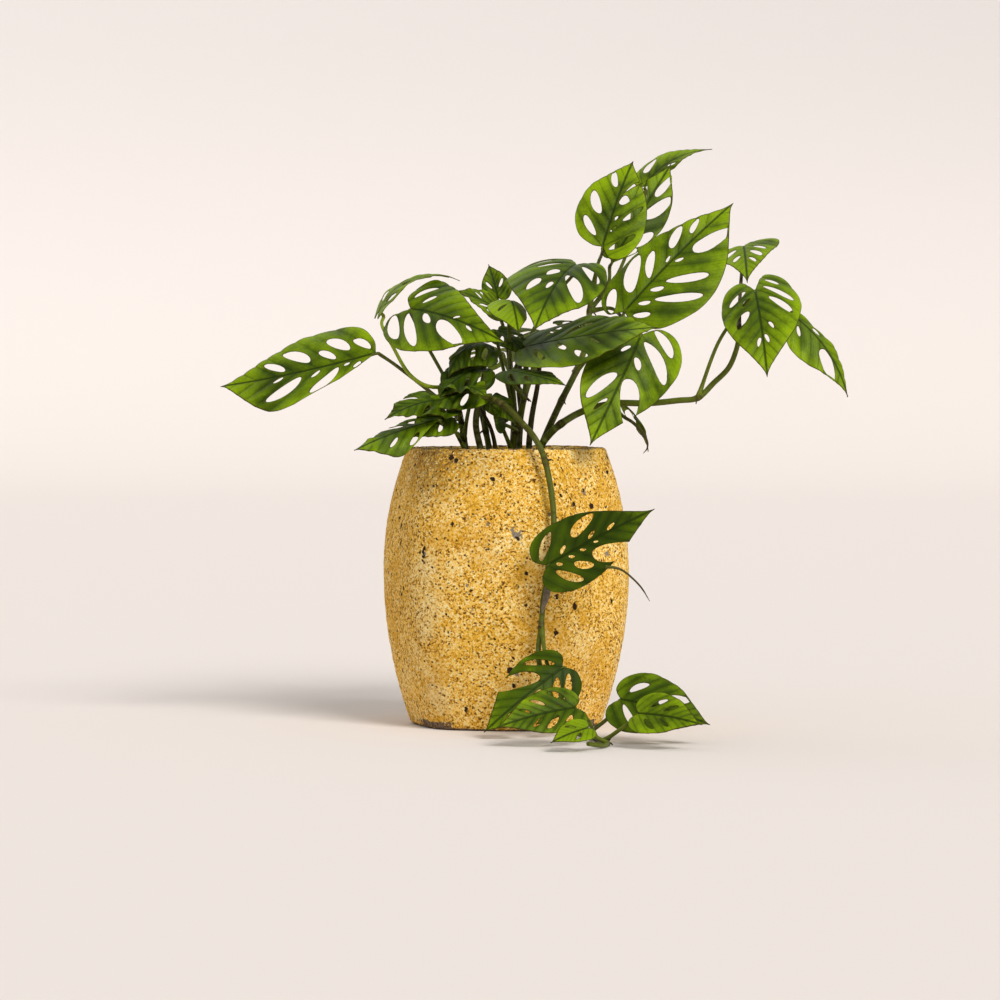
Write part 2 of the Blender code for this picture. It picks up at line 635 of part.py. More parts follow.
def torn(outline, hole):
    """The outline opened out into a hole that crosses it."""
    crossings = []
    for i, (a, b) in enumerate(zip(outline, outline[1:] + outline[:1])):
        for j, (c, d) in enumerate(zip(hole, hole[1:] + hole[:1])):
            point = intersect_line_line_2d(a, b, c, d)
            if point:
                crossings.append((i, (point - Vector(a)).length, j, tuple(point)))
    (first, _, turn_in, start), (last, _, turn_out, end) = sorted(crossings)
    count = (turn_in - turn_out) % len(hole)
    inner = [hole[(turn_in - step) % len(hole)] for step in range(count)]
    return outline[: first + 1] + [start, *inner, end] + outline[last + 1 :]


class Blade:
    """A leaf's blade: its flat outline and holes in metres, and where each point goes when it is bent."""

    def __init__(self, leaf):
        self.leaf = leaf
        base, tip = Vector(leaf.base) * MM, Vector(leaf.tip) * MM
        self.arch = math.radians(leaf.arch)
        self.bow = math.radians(leaf.bow) or LEAST_BOW
        self.length = (tip - base).length * self.arch / (2 * math.sin(self.arch / 2))
        along = (tip - base).normalized()
        up = Vector(leaf.face)
        up = (up - along * up.dot(along)).normalized()
        across = along.cross(up)
        self.matrix = Matrix.Translation(base) @ Matrix((across, along, up)).transposed().to_4x4()

    def axes(self, share):
        """The ways to the right, ahead and up at this share of the midrib, in the blade's own frame."""
        slope = self.arch * (0.5 - share)
        turn = self.bow * (0.5 - share)
        level = Vector((math.cos(turn), -math.sin(turn) * math.cos(slope), -math.sin(turn) * math.sin(slope)))
        ahead = Vector((math.sin(turn), math.cos(turn) * math.cos(slope), math.cos(turn) * math.sin(slope)))
        return level, ahead, level.cross(ahead)

    def on_midrib(self, share):
        """The midrib's point at this share of its length, in the blade's own frame."""
        slope = self.arch * (0.5 - share)
        turn = self.bow * (0.5 - share)
        aside = (math.cos(turn) - math.cos(self.bow / 2)) / self.bow
        run = (math.sin(self.arch / 2) - math.sin(slope)) / self.arch
        rise = (math.cos(slope) - math.cos(self.arch / 2)) / self.arch
        return Vector((aside, run, rise)) * self.length

    def bent(self, x, y):
        """Where a point of the flat blade goes: the midrib arches, and each side folds, curls and twists."""
        side = 1 if x > 0 else 0
        width = self.leaf.widths[side] * MM
        share = (y + self.leaf.lean * x) / self.length
        level, _, above = self.axes(share)
        fold = math.radians(self.leaf.fold[side])
        curl = math.radians(self.leaf.cup[side]) * abs(x) / width
        chord = abs(x) * math.sin(curl / 2) / (curl / 2) if curl else abs(x)
        out = math.copysign(chord * math.cos(fold + curl / 2), x)
        lift = chord * math.sin(fold + curl / 2)
        roll = math.radians(self.leaf.twist) * share
        sideways = out * math.cos(roll) - lift * math.sin(roll)
        upwards = out * math.sin(roll) + lift * math.cos(roll)
        return self.matrix @ (self.on_midrib(share) + level * sideways + above * upwards)

    def half_outline(self, side, steps):
        """One side's outline, from the notch to the tip."""
        width = self.leaf.widths[side] * MM * (1 if side else -1)
        lobe = self.leaf.lobes[side]
        points = []
        for x, y in HALF_OUTLINE:
            if x:
                share = (y + LOBE_REACH) / (1 + LOBE_REACH)
                y = share ** self.leaf.shoulders[side] * (1 + LOBE_REACH) - LOBE_REACH
            if y < 0:
                y *= max(lobe, 0)
            y += (1 - min(lobe, 1)) * WEDGE * x * (1 - y) ** 2
            points.append((x * width, y * self.length, 0))
        return [(p.x, p.y) for p in smooth_curve(points, steps)]

    def vein_of(self, x, y):
        """The place on the midrib, as a share of the length, of the vein that passes through this point."""
        x, y = abs(x) / self.length, y / self.length
        return (y - VEIN_LEAN * x - VEIN_SWEEP * x * x) / (1 + VEIN_FAN * x)

    def on_vein(self, vein, reach):
        """How far along the blade the vein is at this distance from the midrib."""
        x = reach / self.length
        return self.length * (vein + x * (VEIN_LEAN + VEIN_FAN * vein) + VEIN_SWEEP * x * x)

    def margin_reach(self, vein, side):
        """How far from the midrib the vein meets the margin."""
        edge = [(self.vein_of(x, y), abs(x)) for x, y in self.half_outline(side, OUTLINE_STEPS)]
        for (v0, x0), (v1, x1) in reversed(list(zip(edge, edge[1:]))):
            if v0 <= vein and x0 > 0:
                return x0 + (x1 - x0) * (vein - v0) / (v1 - v0)
        return min(place for place in edge if place[1] > self.leaf.widths[side] * MM / 2)[1]

    def hole(self, spec, side, count):
        """The outline of a hole: a lens that lies along a vein line, rounder at its outer end."""
        vein, inner, outer, width = spec
        limit = self.margin_reach(vein, side)
        points = []
        for step in range(count):
            angle = 2 * math.pi * step / count * (-1 if side else 1)
            share = (1 - math.cos(angle)) / 2
            reach = limit * (inner + (outer - inner) * share)
            offset = width / 2 * math.sin(angle) * (0.8 + 0.4 * share)
            points.append(((reach if side else -reach), self.on_vein(vein + offset, reach)))
        return points

    def loops(self):
        """The outline, torn where a hole reaches past it, and the holes that are whole."""
        left, right = self.half_outline(0, OUTLINE_STEPS), self.half_outline(1, OUTLINE_STEPS)
        outline = right + left[-2:0:-1]
        whole = []
        for side, specs in enumerate((self.leaf.left, self.leaf.right)):
            for spec in specs:
                short = spec[2] - spec[1] < 0.3
                points = self.hole(spec, side, HOLE_POINTS - 1 if short else HOLE_POINTS)
                if spec[2] > 1:
                    outline = torn(outline, points)
                else:
                    whole.append(points)
        return outline, whole

    def sheet(self):
        """The bent blade as a mesh one face thick."""
        outline, holes = self.loops()
        midrib = [(0, self.length * (i + 0.5) / MIDRIB_POINTS) for i in range(MIDRIB_POINTS)]
        points, faces = [Vector(p) for p in outline + midrib], [list(range(len(outline)))]
        spine = [len(outline) + i for i in range(MIDRIB_POINTS)]
        edges = list(zip(spine, spine[1:]))
        for hole in holes:
            first = len(points)
            points += [Vector(p) for p in hole]
            faces.append(list(range(first, len(points))))
        filled = delaunay_2d_cdt(points, edges, faces, 1, 1e-7, True)
        kept = [face for face, source in zip(filled[2], filled[5]) if source == [0]]
        mesh = bpy.data.meshes.new(self.leaf.name)
        mesh.from_pydata([self.bent(p.x, p.y) for p in filled[0]], [], kept)
        return mesh


def build_leaf(leaf, group, finish):
    """A blade: the bent sheet, thickened on both its sides."""
    bm = bmesh.new()
    bm.from_mesh(Blade(leaf).sheet())
    loose = [v for v in bm.verts if not v.link_faces]
    bmesh.ops.delete(bm, geom=loose, context="VERTS")
    bmesh.ops.recalc_face_normals(bm, faces=bm.faces)
    blade = object_of(leaf.name, mesh_from(bm, leaf.name), group, finish)
    thick = blade.modifiers.new("thickness", "SOLIDIFY")
    thick.thickness = BLADE_THICKNESS
    thick.offset = 0
    thick.use_even_offset = True
    return blade


def main():
    """Builds the pot, the mix, the vines and the leaves."""
    clear_scene()
    plant = bpy.data.collections.new("potted_swiss_cheese_vine")
    cutters = bpy.data.collections.new("cutters")
    cutters.hide_render = True
    for group in (plant, cutters):
        bpy.context.scene.collection.children.link(group)
    build_pot(plant)
    build_mix(plant, cutters)
    stem_finish = finish_of("stem", STEM_GREEN, STEM_ROUGHNESS)
    leaf_finish = finish_of("leaf", LEAF_GREEN, LEAF_ROUGHNESS)
    for vine in VINES:
        build_vine(vine, plant, stem_finish)
    for leaf in LEAVES:
        build_leaf(leaf, plant, leaf_finish)
    for cutter in cutters.objects:
        cutter.hide_render = True
        cutter.display_type = "WIRE"


main()
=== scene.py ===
"""The looks of a potted swiss cheese vine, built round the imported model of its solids.

Thin holed blades with veins and quilting, round vines with swollen nodes and root nubs, a rough granular
stoneware pot and a bed of loose potting mix each stand for the plain solid of the same name. Metres, +Z up,
with the front at -Y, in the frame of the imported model.
"""

import logging
import math
import random
from dataclasses import dataclass
from enum import Enum
from typing import NamedTuple, Optional, Sequence, Union

import bmesh
import bpy
from mathutils import Matrix, Quaternion, Vector, noise
from mathutils.geometry import intersect_line_line_2d
from mathutils.kdtree import KDTree


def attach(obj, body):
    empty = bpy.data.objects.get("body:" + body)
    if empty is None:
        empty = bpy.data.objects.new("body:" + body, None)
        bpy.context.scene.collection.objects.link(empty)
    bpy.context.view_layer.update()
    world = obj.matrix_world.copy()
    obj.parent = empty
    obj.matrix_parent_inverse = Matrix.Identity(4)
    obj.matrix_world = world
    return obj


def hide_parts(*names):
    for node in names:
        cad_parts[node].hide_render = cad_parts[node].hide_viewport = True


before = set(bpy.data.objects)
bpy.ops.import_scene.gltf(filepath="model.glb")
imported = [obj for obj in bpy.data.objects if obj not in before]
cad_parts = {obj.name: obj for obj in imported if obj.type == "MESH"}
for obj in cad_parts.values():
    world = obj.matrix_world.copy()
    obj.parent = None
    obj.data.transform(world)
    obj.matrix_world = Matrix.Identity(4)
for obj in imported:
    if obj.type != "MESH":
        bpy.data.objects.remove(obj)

MM = 0.001
SEED = 20
LOG = logging.getLogger("potted_vine")

Colour = tuple[float, float, float]
Pair = tuple[float, float]
Loop = list[Pair]

# The pot's plan and section and the bed's height, as their solids have them
POT_HEIGHT = 0.204
FOOT_RADIUS = 0.0705
BELLY_RADIUS = 0.0912
RIM_RADIUS = 0.0735
BELLY_HEIGHT = 0.112
POT_WALL = 0.0085
POT_FLOOR = 0.010
CORNER_INSET = 0.010
LIP_ROUND = 0.0038
FOOT_ROUND = 0.0025
INSIDE_FROM = 0.026
FIRST_RIDGE = math.radians(-71)
POT_SIDES = 6
FLAT_SIDE_DEPTH = 0.0556
MIX_HEIGHT = 0.188
MIX_CROWN = 0.003

# Where a stem's straight foot starts in the mix, and where it ends just over it
STEM_FOOT = 0.150
STEM_COLLAR = 0.193

# The lowest that anything but the pot may lie
FLOOR_GAP = 0.05 * MM

# Corners of a spun shape that are nearer than this are one
WELD = 0.01 * MM

# The slope of a blade's veins by the stalk, how much steeper they are by the tip, and how they bend ahead
VEIN_LEAN = 0.75
VEIN_FAN = 1.0
VEIN_SWEEP = 0.5

# How far back a blade's lobes can reach, and how far ahead a base without lobes slants, in blade lengths
LOBE_REACH = 0.1
WEDGE = 0.25

# The bow of a midrib that is straight, in radians, because formulas divide by it
LEAST_BOW = 1e-4

# Half of a blade's outline, from the notch at the stalk to the tip: across in half widths, along in lengths
HALF_OUTLINE = (
    (0.0, 0.0),
    (0.30, -0.090),
    (0.72, -0.050),
    (0.98, 0.130),
    (0.98, 0.340),
    (0.76, 0.570),
    (0.32, 0.800),
    (0.07, 0.930),
    (0.0, 1.0),
)


class Slot(Enum):
    """Names of the material slots."""

    POT = "pot_stoneware"
    MIX = "potting_mix"
    STEM = "vine_stem"
    LEAF = "leaf_blade"


class Vine(NamedTuple):
    """A stem: the points that it runs through above the mix, in millimetres, and its radii at its ends.

    youth is how green it is at its foot and at its end, and bare_nodes are its nodes that carry no leaf.
    """

    name: str
    points: tuple
    radii: Pair
    youth: Pair = (0.15, 0.50)
    bare_nodes: tuple = ()


class Leaf(NamedTuple):
    """A blade and its stalk, in millimetres and degrees, as their solids have them.

    node is the point of the vine that the stalk grows from, and via the points that it passes. The blade runs
    from base to tip, and its upper side looks along face. A pair holds the left side and then the right, as
    seen from above with the tip ahead: the greatest widths, the first slopes (fold), how far they curl by the
    margin (cup), how far the lobes reach back, and where the shoulders lie. The midrib arches up by arch and
    bows to the right by bow. The blade rolls over by twist from base to tip, and lean shifts its right side
    towards the tip. A hole is (vein, inner, outer, width), and one that reaches past 1 is torn open.

    The last three are looks alone. A youth of 1 is new, 0 is old, and less is darker still; for the leaves
    deep in the clump that darkening is partly painted shade. crumpled is how crumpled the blade is beside
    most, and a stalk without a youth of its own takes its vine's.
    """

    name: str
    vine: str
    node: int
    via: tuple
    base: tuple
    tip: tuple
    face: tuple
    widths: Pair
    arch: float
    left: tuple
    right: tuple
    fold: Pair = (8, 8)
    cup: Pair = (-22, -22)
    lobes: Pair = (1, 1)
    shoulders: Pair = (1, 1)
    lean: float = 0
    bow: float = 0
    twist: float = 0
    youth: float = 0.20
    crumpled: float = 1.0
    stalk_youth: Optional[float] = None


# Holes that several leaves share
SLITS = ((0.02, 0.30, 0.80, 0.08), (0.20, 0.25, 0.82, 0.09), (0.40, 0.25, 0.76, 0.08))
TWO_SLITS = ((0.08, 0.32, 0.80, 0.09), (0.32, 0.28, 0.76, 0.09))
ONE_SLIT = ((0.20, 0.30, 0.78, 0.10),)

VINES = (
    Vine(
        "trailing_vine",
        (
            (-18, -24, 200), (-22, -30, 222), (-17, -44, 240), (-3, -58, 236), (10, -68, 224), (21, -79, 211),
            (28, -84, 195), (33, -88, 168), (34, -91, 145), (32, -96, 122), (27, -98, 100), (25, -97, 78),
            (23, -97, 55), (30, -99, 33), (39, -103, 14), (47, -112, 4.0), (56, -130, 2.5), (63, -149, 2.2),
            (68, -168, 2.1), (70, -187, 2.1), (66, -204, 2.2), (56, -216, 4.5),
        ),
        (2.5, 1.6),
        youth=(0.16, 0.60),
        bare_nodes=(3, 6),
    ),
    Vine("left_vine", ((-29, -14, 200), (-31, -16, 211), (-33, -18, 224)), (2.9, 2.0)),
    Vine("mid_left_vine", ((-12, -4, 200), (-15, -4, 216), (-20, -6, 236), (-27, -12, 252)), (2.8, 1.8)),
    Vine("centre_vine", ((5, 10, 200), (6, 11, 228), (4, 13, 254), (2, 17, 276)), (3.0, 2.0)),
    Vine("front_vine", ((5, -12, 200), (7, -13, 216), (13, -14, 240), (15, -12, 258)), (2.6, 1.8)),
    Vine(
        "climbing_vine",
        ((25, 2, 200), (30, 4, 214), (41, 8, 238), (52, 13, 260), (60, 20, 282), (62, 34, 304),
         (65, 42, 322)),
        (3.0, 1.9),
        youth=(0.20, 0.55),
        bare_nodes=(2,),
    ),
    Vine(
        "runner_vine",
        (
            (24, -18, 200), (28, -19, 209), (40, -19, 221), (58, -17, 231), (80, -13, 236), (104, -8, 236),
            (126, -3, 238), (141, 1, 240), (153, 5, 251), (164, 9, 262), (170, 12, 276), (172, 14, 288),
        ),
        (3.0, 1.8),
        youth=(0.35, 0.60),
        bare_nodes=(2,),
    ),
    Vine("back_vine", ((8, 32, 200), (10, 38, 218), (14, 48, 240), (20, 58, 258)), (2.8, 1.9)),
)

LEAVES = (
    Leaf(
        "left_leaf_outer", "left_vine", 2, ((-50, -18, 240), (-78, -18, 262)),
        (-95, -20, 273), (-211, 16, 248), (0.0, -0.80, 0.60), (31, 36), 8,
        ((0.08, 0.40, 0.86, 0.04), (0.16, 0.08, 0.22, 0.03), (0.21, 0.16, 0.90, 0.09),
         (0.33, 0.08, 0.24, 0.035), (0.43, 0.18, 0.82, 0.11), (0.57, 0.08, 0.30, 0.04)),
        ((0.00, 0.14, 0.48, 0.06), (0.10, 0.24, 0.68, 0.085), (0.22, 0.12, 0.46, 0.06),
         (0.36, 0.26, 0.84, 0.11), (0.55, 0.18, 0.78, 0.085)),
        fold=(-6, 10), cup=(0, -26), lobes=(-1, 0.5), shoulders=(0.6, 0.95), bow=-16, twist=-10,
        youth=0.24, stalk_youth=0.25,
    ),
    Leaf(
        "left_leaf_folded", "mid_left_vine", 3,
        ((-53, -28, 248), (-70, -27, 257), (-83, -14, 278), (-91, -1, 293)),
        (-93, 6, 304), (-34, 20, 326), (-0.36, -0.16, 0.92), (12, 13), 92, TWO_SLITS, TWO_SLITS,
        fold=(4, 4), cup=(-16, -16), youth=0.60, crumpled=1.3, stalk_youth=1.25,
    ),
    Leaf(
        "left_leaf_round", "left_vine", 1, ((-34, -14, 232), (-45, -8, 255), (-60, -4, 282)),
        (-70, -8, 305), (1, -62, 279), (0.05, -0.84, 0.52), (35, 37), 34,
        ((-0.12, 0.34, 0.80, 0.08), (0.04, 0.24, 0.56, 0.05), (0.46, 0.05, 0.34, 0.03)),
        ((-0.16, 0.22, 0.82, 0.12), (0.00, 0.12, 0.90, 0.11), (0.18, 0.06, 0.36, 0.08),
         (0.37, 0.16, 0.92, 0.22), (0.61, 0.06, 0.36, 0.05)),
        fold=(12, 8), cup=(-36, -30), lobes=(1.2, 1.6), shoulders=(2.1, 1), youth=0.10,
    ),
    Leaf(
        "left_leaf_low", "left_vine", 1, ((-38, -34, 216),),
        (-48, -56, 225), (-109, -84, 203), (0.0, -0.72, 0.68), (19, 14), 20,
        ((0.22, 0.35, 0.80, 0.07), (0.46, 0.30, 0.70, 0.06)),
        ((0.12, 0.30, 0.82, 0.08), (0.34, 0.40, 1.06, 0.16)),
        fold=(-10, -20), cup=(-10, -30), lobes=(-1, 0.8), shoulders=(0.7, 0.9), youth=0.0, crumpled=2.2,
    ),
    Leaf(
        "left_leaf_middle", "left_vine", 2, ((-36, -32, 232),),
        (-42, -44, 238), (-87, -86, 225), (0.05, -0.60, 0.78), (18, 19), 40,
        TWO_SLITS, ((0.05, 0.30, 0.80, 0.07), (0.26, 0.34, 1.06, 0.14)),
        fold=(4, 4), cup=(-34, -34), youth=-0.15, crumpled=3.6,
    ),
    Leaf(
        "mid_leaf_curled", "mid_left_vine", 2, ((-18, -14, 250), (-14, -18, 268)),
        (-12, -24, 279), (-42, -44, 254), (-0.20, -0.55, 0.80), (22, 20), 110, TWO_SLITS, ONE_SLIT,
        fold=(-10, -10), cup=(-60, -60), lobes=(1, 0.5), youth=-0.30, crumpled=3.8,
    ),
    Leaf(
        "mid_leaf_flat", "mid_left_vine", 3, ((-34, -26, 244),),
        (-38, -38, 246), (-13, -76, 240), (0.05, -0.30, 0.95), (14, 15), 50, ONE_SLIT, ONE_SLIT,
        youth=-0.10, crumpled=4.0,
    ),
    Leaf(
        "centre_leaf_low", "front_vine", 1, ((5, -24, 218),),
        (0, -30, 222), (-12, -50, 236), (0.30, -0.85, 0.25), (11, 11), 30, (), (), youth=-0.30,
    ),
    Leaf(
        "centre_leaf_slit", "centre_vine", 3, ((-2, 18, 292),),
        (-3, 22, 303), (-37, 14, 319), (0.0, -0.47, 0.88), (19, 18), 20,
        SLITS[:2], SLITS, cup=(-14, -14), crumpled=2.0,
    ),
    Leaf(
        "centre_leaf_top", "centre_vine", 3, ((4, 30, 294), (2, 42, 306)),
        (-6, 46, 314), (-13, 52, 339), (0.25, -0.90, 0.25), (11, 12), 20, ONE_SLIT, ONE_SLIT,
        fold=(14, 14), twist=10, crumpled=2.4,
    ),
    Leaf(
        "centre_leaf_bright", "centre_vine", 2, ((3, -4, 274), (2, -20, 298)),
        (4, -30, 311), (9, -68, 286), (0.05, -0.80, 0.55), (12, 19), 40,
        (), ((0.14, 0.30, 0.75, 0.07),), fold=(-20, 4), cup=(-30, -20), youth=0.75,
    ),
    Leaf(
        "centre_leaf_big", "centre_vine", 2, ((16, 22, 282), (34, 26, 312)),
        (52, 8, 338), (20, -70, 288), (-0.12, -0.72, 0.70), (34, 46), 46,
        ((0.05, 0.24, 0.84, 0.11), (0.31, 0.10, 0.88, 0.16)),
        ((-0.16, 0.38, 0.86, 0.08), (0.04, 0.18, 0.56, 0.08), (0.24, 0.12, 0.36, 0.09),
         (0.36, 0.44, 0.74, 0.12), (0.46, 0.10, 0.28, 0.08)),
        fold=(12, 12), cup=(-36, -50), lobes=(2, 2), shoulders=(0.7, 1), lean=-0.10, youth=0.02,
    ),
    Leaf(
        "front_leaf_long", "front_vine", 3, ((14, -8, 268),),
        (14, -14, 277), (109, -82, 291), (0.10, -0.62, 0.75), (32, 36), 8,
        ((0.05, 0.30, 0.78, 0.05), (0.24, 0.25, 0.70, 0.05)),
        ((0.06, 0.25, 0.70, 0.05), (0.24, 0.16, 0.40, 0.05), (0.30, 0.52, 0.86, 0.06),
         (0.48, 0.18, 0.50, 0.04)),
        fold=(6, 4), cup=(-20, -20), lobes=(1, 1.2), shoulders=(0.85, 0.6), youth=0.12, crumpled=1.4,
    ),
    Leaf(
        "front_leaf_short", "front_vine", 2, ((6, -26, 249),),
        (1, -34, 260), (44, -76, 249), (0.05, -0.60, 0.80), (15, 18), 12, ONE_SLIT, TWO_SLITS,
        fold=(-6, 10), cup=(-20, -20), lobes=(0.4, 0.8), youth=-0.30,
    ),
    Leaf(
        "right_leaf_hanging", "climbing_vine", 3, ((66, 2, 274), (86, -14, 286)),
        (98, -34, 286), (60, -72, 206), (0.28, -0.88, 0.38), (37, 28), 24,
        ((-0.12, 0.22, 0.76, 0.09), (0.03, 0.12, 0.90, 0.12), (0.20, 0.08, 0.32, 0.07),
         (0.43, 0.08, 1.04, 0.25)),
        ((0.10, 0.12, 0.32, 0.04), (0.36, 0.18, 0.86, 0.15), (0.57, 0.22, 0.66, 0.06)),
        fold=(6, 6), cup=(-26, -22), lobes=(1, 0.6), shoulders=(1, 0.8), lean=0.24,
    ),
    Leaf(
        "top_leaf_front", "climbing_vine", 6, ((68, 36, 338),),
        (71, 12, 351), (95, 52, 416), (-0.12, -0.84, 0.54), (28, 27), 30,
        ((0.03, 0.25, 0.72, 0.08), (0.23, 0.34, 0.84, 0.13), (0.59, 0.30, 0.95, 0.12)),
        ((-0.06, 0.20, 0.80, 0.07), (0.14, 0.10, 0.26, 0.04), (0.18, 0.40, 0.90, 0.07),
         (0.25, 0.08, 0.24, 0.04), (0.46, 0.14, 0.86, 0.20)),
        lobes=(0.5, 1.1), shoulders=(0.85, 1), youth=0.48,
    ),
    Leaf(
        "top_leaf_back", "climbing_vine", 5, ((76, 52, 324),),
        (79, 58, 340), (125, 92, 416), (0.22, -0.80, 0.55), (23, 20), 20,
        ((0.04, 0.12, 0.88, 0.17), (0.28, 0.12, 0.90, 0.20), (0.54, 0.14, 0.88, 0.16)),
        ((0.06, 0.30, 0.84, 0.07), (0.16, 0.20, 0.88, 0.12), (0.45, 0.12, 0.94, 0.18),
         (0.70, 0.12, 0.94, 0.20)),
        lobes=(0, 0), shoulders=(1, 0.7), lean=0.1,
    ),
    Leaf(
        "top_leaf_narrow", "climbing_vine", 5, ((84, 74, 332), (100, 98, 374)),
        (105, 102, 399), (157, 116, 427.9), (-0.30, -0.60, 0.70), (16, 10), 20,
        ((0.12, 0.40, 0.86, 0.16),), ((0.36, 0.30, 0.70, 0.08),),
        fold=(10, 0), cup=(-10, -10), lobes=(0.6, 0.2), bow=-64, twist=25, youth=0.45,
    ),
    Leaf(
        "right_leaf_big", "climbing_vine", 5, ((78, 34, 306),),
        (87, 14, 303), (170, 56, 385), (-0.12, -0.85, 0.50), (29, 43), 18,
        ((-0.08, 0.22, 0.74, 0.085), (0.09, 0.20, 0.93, 0.14), (0.24, 0.12, 0.70, 0.08),
         (0.45, 0.34, 0.92, 0.11), (0.40, 0.08, 0.20, 0.04), (0.62, 0.36, 0.86, 0.08)),
        ((-0.02, 0.18, 0.42, 0.045), (0.07, 0.10, 0.26, 0.035), (0.10, 0.28, 0.88, 0.065),
         (0.18, 0.10, 0.28, 0.04), (0.25, 0.22, 0.80, 0.07), (0.43, 0.08, 0.22, 0.035),
         (0.58, 0.20, 0.92, 0.21)),
        fold=(8, 4), cup=(-34, -14), lobes=(0.9, 0.6), shoulders=(1.1, 0.75), lean=-0.12, youth=0.18,
    ),
    Leaf(
        "far_leaf_small", "runner_vine", 11, ((174, 40, 314), (178, 84, 338)),
        (180, 100, 354), (180, 50, 325), (0.0, -0.52, 0.85), (27, 22), 30,
        SLITS, TWO_SLITS, fold=(16, -6), cup=(-14, -20), lobes=(1.7, 0.6), shoulders=(1.7, 1.5),
        youth=0.55, stalk_youth=0.05,
    ),
    Leaf(
        "far_leaf_round", "runner_vine", 7, ((156, 6, 280), (174, 12, 306)),
        (183, 5, 319), (189, -48, 255), (0.0, -0.78, 0.62), (32, 28), 36,
        ((-0.20, 0.28, 0.60, 0.05), (-0.08, 0.20, 0.84, 0.07), (0.05, 0.30, 0.84, 0.09),
         (0.38, 0.30, 0.50, 0.05), (0.57, 0.12, 0.40, 0.07)),
        ((-0.05, 0.25, 0.74, 0.07), (0.08, 0.18, 0.42, 0.05), (0.22, 0.30, 0.76, 0.11),
         (0.60, 0.12, 0.44, 0.07)),
        fold=(14, -4), cup=(-34, -26), lobes=(2.6, 1.6), shoulders=(1.1, 1), youth=0.30,
    ),
    Leaf(
        "far_leaf_drooping", "runner_vine", 11, ((186, 26, 302), (200, 34, 308)),
        (210, 32, 303), (252.9, 20, 240), (0.35, -0.70, 0.55), (11, 23), 26,
        ((0.24, 0.25, 0.60, 0.07),), ((0.10, 0.20, 0.46, 0.05), (0.54, 0.06, 0.99, 0.30)),
        fold=(-10, -10), cup=(-20, -20), lobes=(0.4, 0.4), bow=-34, crumpled=1.7,
    ),
    Leaf(
        "right_leaf_narrow", "runner_vine", 4, ((78, 0, 237),),
        (82, 10, 239), (105, 12, 200), (0.55, 0.40, 0.70), (6.5, 7), 64,
        ((0.30, 0.10, 1.15, 0.30),), ((0.20, 0.20, 0.74, 0.30),),
        fold=(-46, -40), cup=(-30, -30), lobes=(0, 0), twist=40, crumpled=1.8,
    ),
    Leaf(
        "back_leaf_left", "back_vine", 2, ((2, 62, 260), (-2, 74, 272)),
        (-6, 80, 276), (-34, 128, 244), (-0.15, 0.45, 0.88), (27, 25), 40, SLITS, SLITS,
    ),
    Leaf(
        "back_leaf_middle", "back_vine", 3, ((24, 72, 280),),
        (26, 84, 290), (24, 164, 262), (0.0, 0.45, 0.90), (29, 29), 44, SLITS, SLITS,
    ),
    Leaf(
        "back_leaf_right", "back_vine", 3, ((38, 64, 280),),
        (54, 74, 296), (76, 136, 268), (0.25, 0.45, 0.85), (24, 26), 40, SLITS, SLITS,
    ),
    Leaf(
        "trail_leaf_top", "trailing_vine", 9, ((29, -107, 112),),
        (29, -112, 122), (105, -132, 163), (0.05, -0.93, 0.30), (25, 26), 24,
        ((-0.06, 0.18, 0.82, 0.10), (0.14, 0.08, 0.28, 0.05), (0.25, 0.38, 0.92, 0.17),
         (0.40, 0.12, 0.36, 0.05), (0.58, 0.10, 0.42, 0.055)),
        ((0.00, 0.26, 0.86, 0.08), (0.07, 0.08, 0.22, 0.04), (0.15, 0.34, 0.72, 0.09),
         (0.19, 0.08, 0.22, 0.035), (0.30, 0.08, 0.22, 0.035), (0.43, 0.08, 0.20, 0.03),
         (0.37, 0.36, 1.30, 0.28)),
        shoulders=(1.15, 1), youth=-0.34,
    ),
    Leaf(
        "trail_leaf_torn", "trailing_vine", 11, ((30, -108, 50),),
        (40, -116, 50), (-16, -134, 5), (0.0, -0.92, 0.35), (27, 25), 30,
        ((-0.06, 0.22, 0.78, 0.09), (0.08, 0.14, 0.66, 0.10), (0.32, 0.12, 1.15, 0.26),
         (0.66, 0.26, 0.70, 0.08)),
        ((-0.02, 0.22, 0.86, 0.08), (0.24, 0.14, 1.15, 0.26)),
        fold=(-4, -4), cup=(-30, -30), youth=-0.30,
    ),
    Leaf(
        "trail_leaf_right", "trailing_vine", 16, ((73, -150, 18),),
        (80, -152, 30), (142, -176, 14), (0.05, -0.84, 0.54), (25, 25), 24,
        ((0.00, 0.28, 0.68, 0.10), (0.40, 0.18, 0.94, 0.20)),
        ((0.02, 0.16, 0.86, 0.08), (0.20, 0.18, 0.46, 0.06), (0.31, 0.12, 0.34, 0.05),
         (0.49, 0.22, 0.92, 0.16)),
        cup=(-16, -16), youth=-0.06,
    ),
    Leaf(
        "trail_leaf_left", "trailing_vine", 17, ((57, -172, 17),),
        (48, -176, 26), (-7, -198, 14), (-0.05, -0.82, 0.57), (19, 19), 24,
        SLITS,
        ((0.00, 0.40, 0.84, 0.09), (0.14, 0.14, 0.28, 0.04), (0.26, 0.40, 0.82, 0.08),
         (0.50, 0.35, 0.76, 0.06)),
        cup=(-16, -16), youth=0.0,
    ),
    Leaf(
        "trail_leaf_near", "trailing_vine", 18, ((82, -196, 15),),
        (91, -200, 24), (134, -222, 18), (0.05, -0.80, 0.60), (19, 17), 24, TWO_SLITS, TWO_SLITS,
        cup=(-16, -16), youth=0.20,
    ),
    Leaf(
        "trail_leaf_tip", "trailing_vine", 19, ((60, -214, 10),),
        (56, -222, 16), (30, -237.6, 7), (-0.05, -0.70, 0.70), (11, 11), 20, ONE_SLIT, ONE_SLIT,
        cup=(-16, -16), youth=0.85,
    ),
)
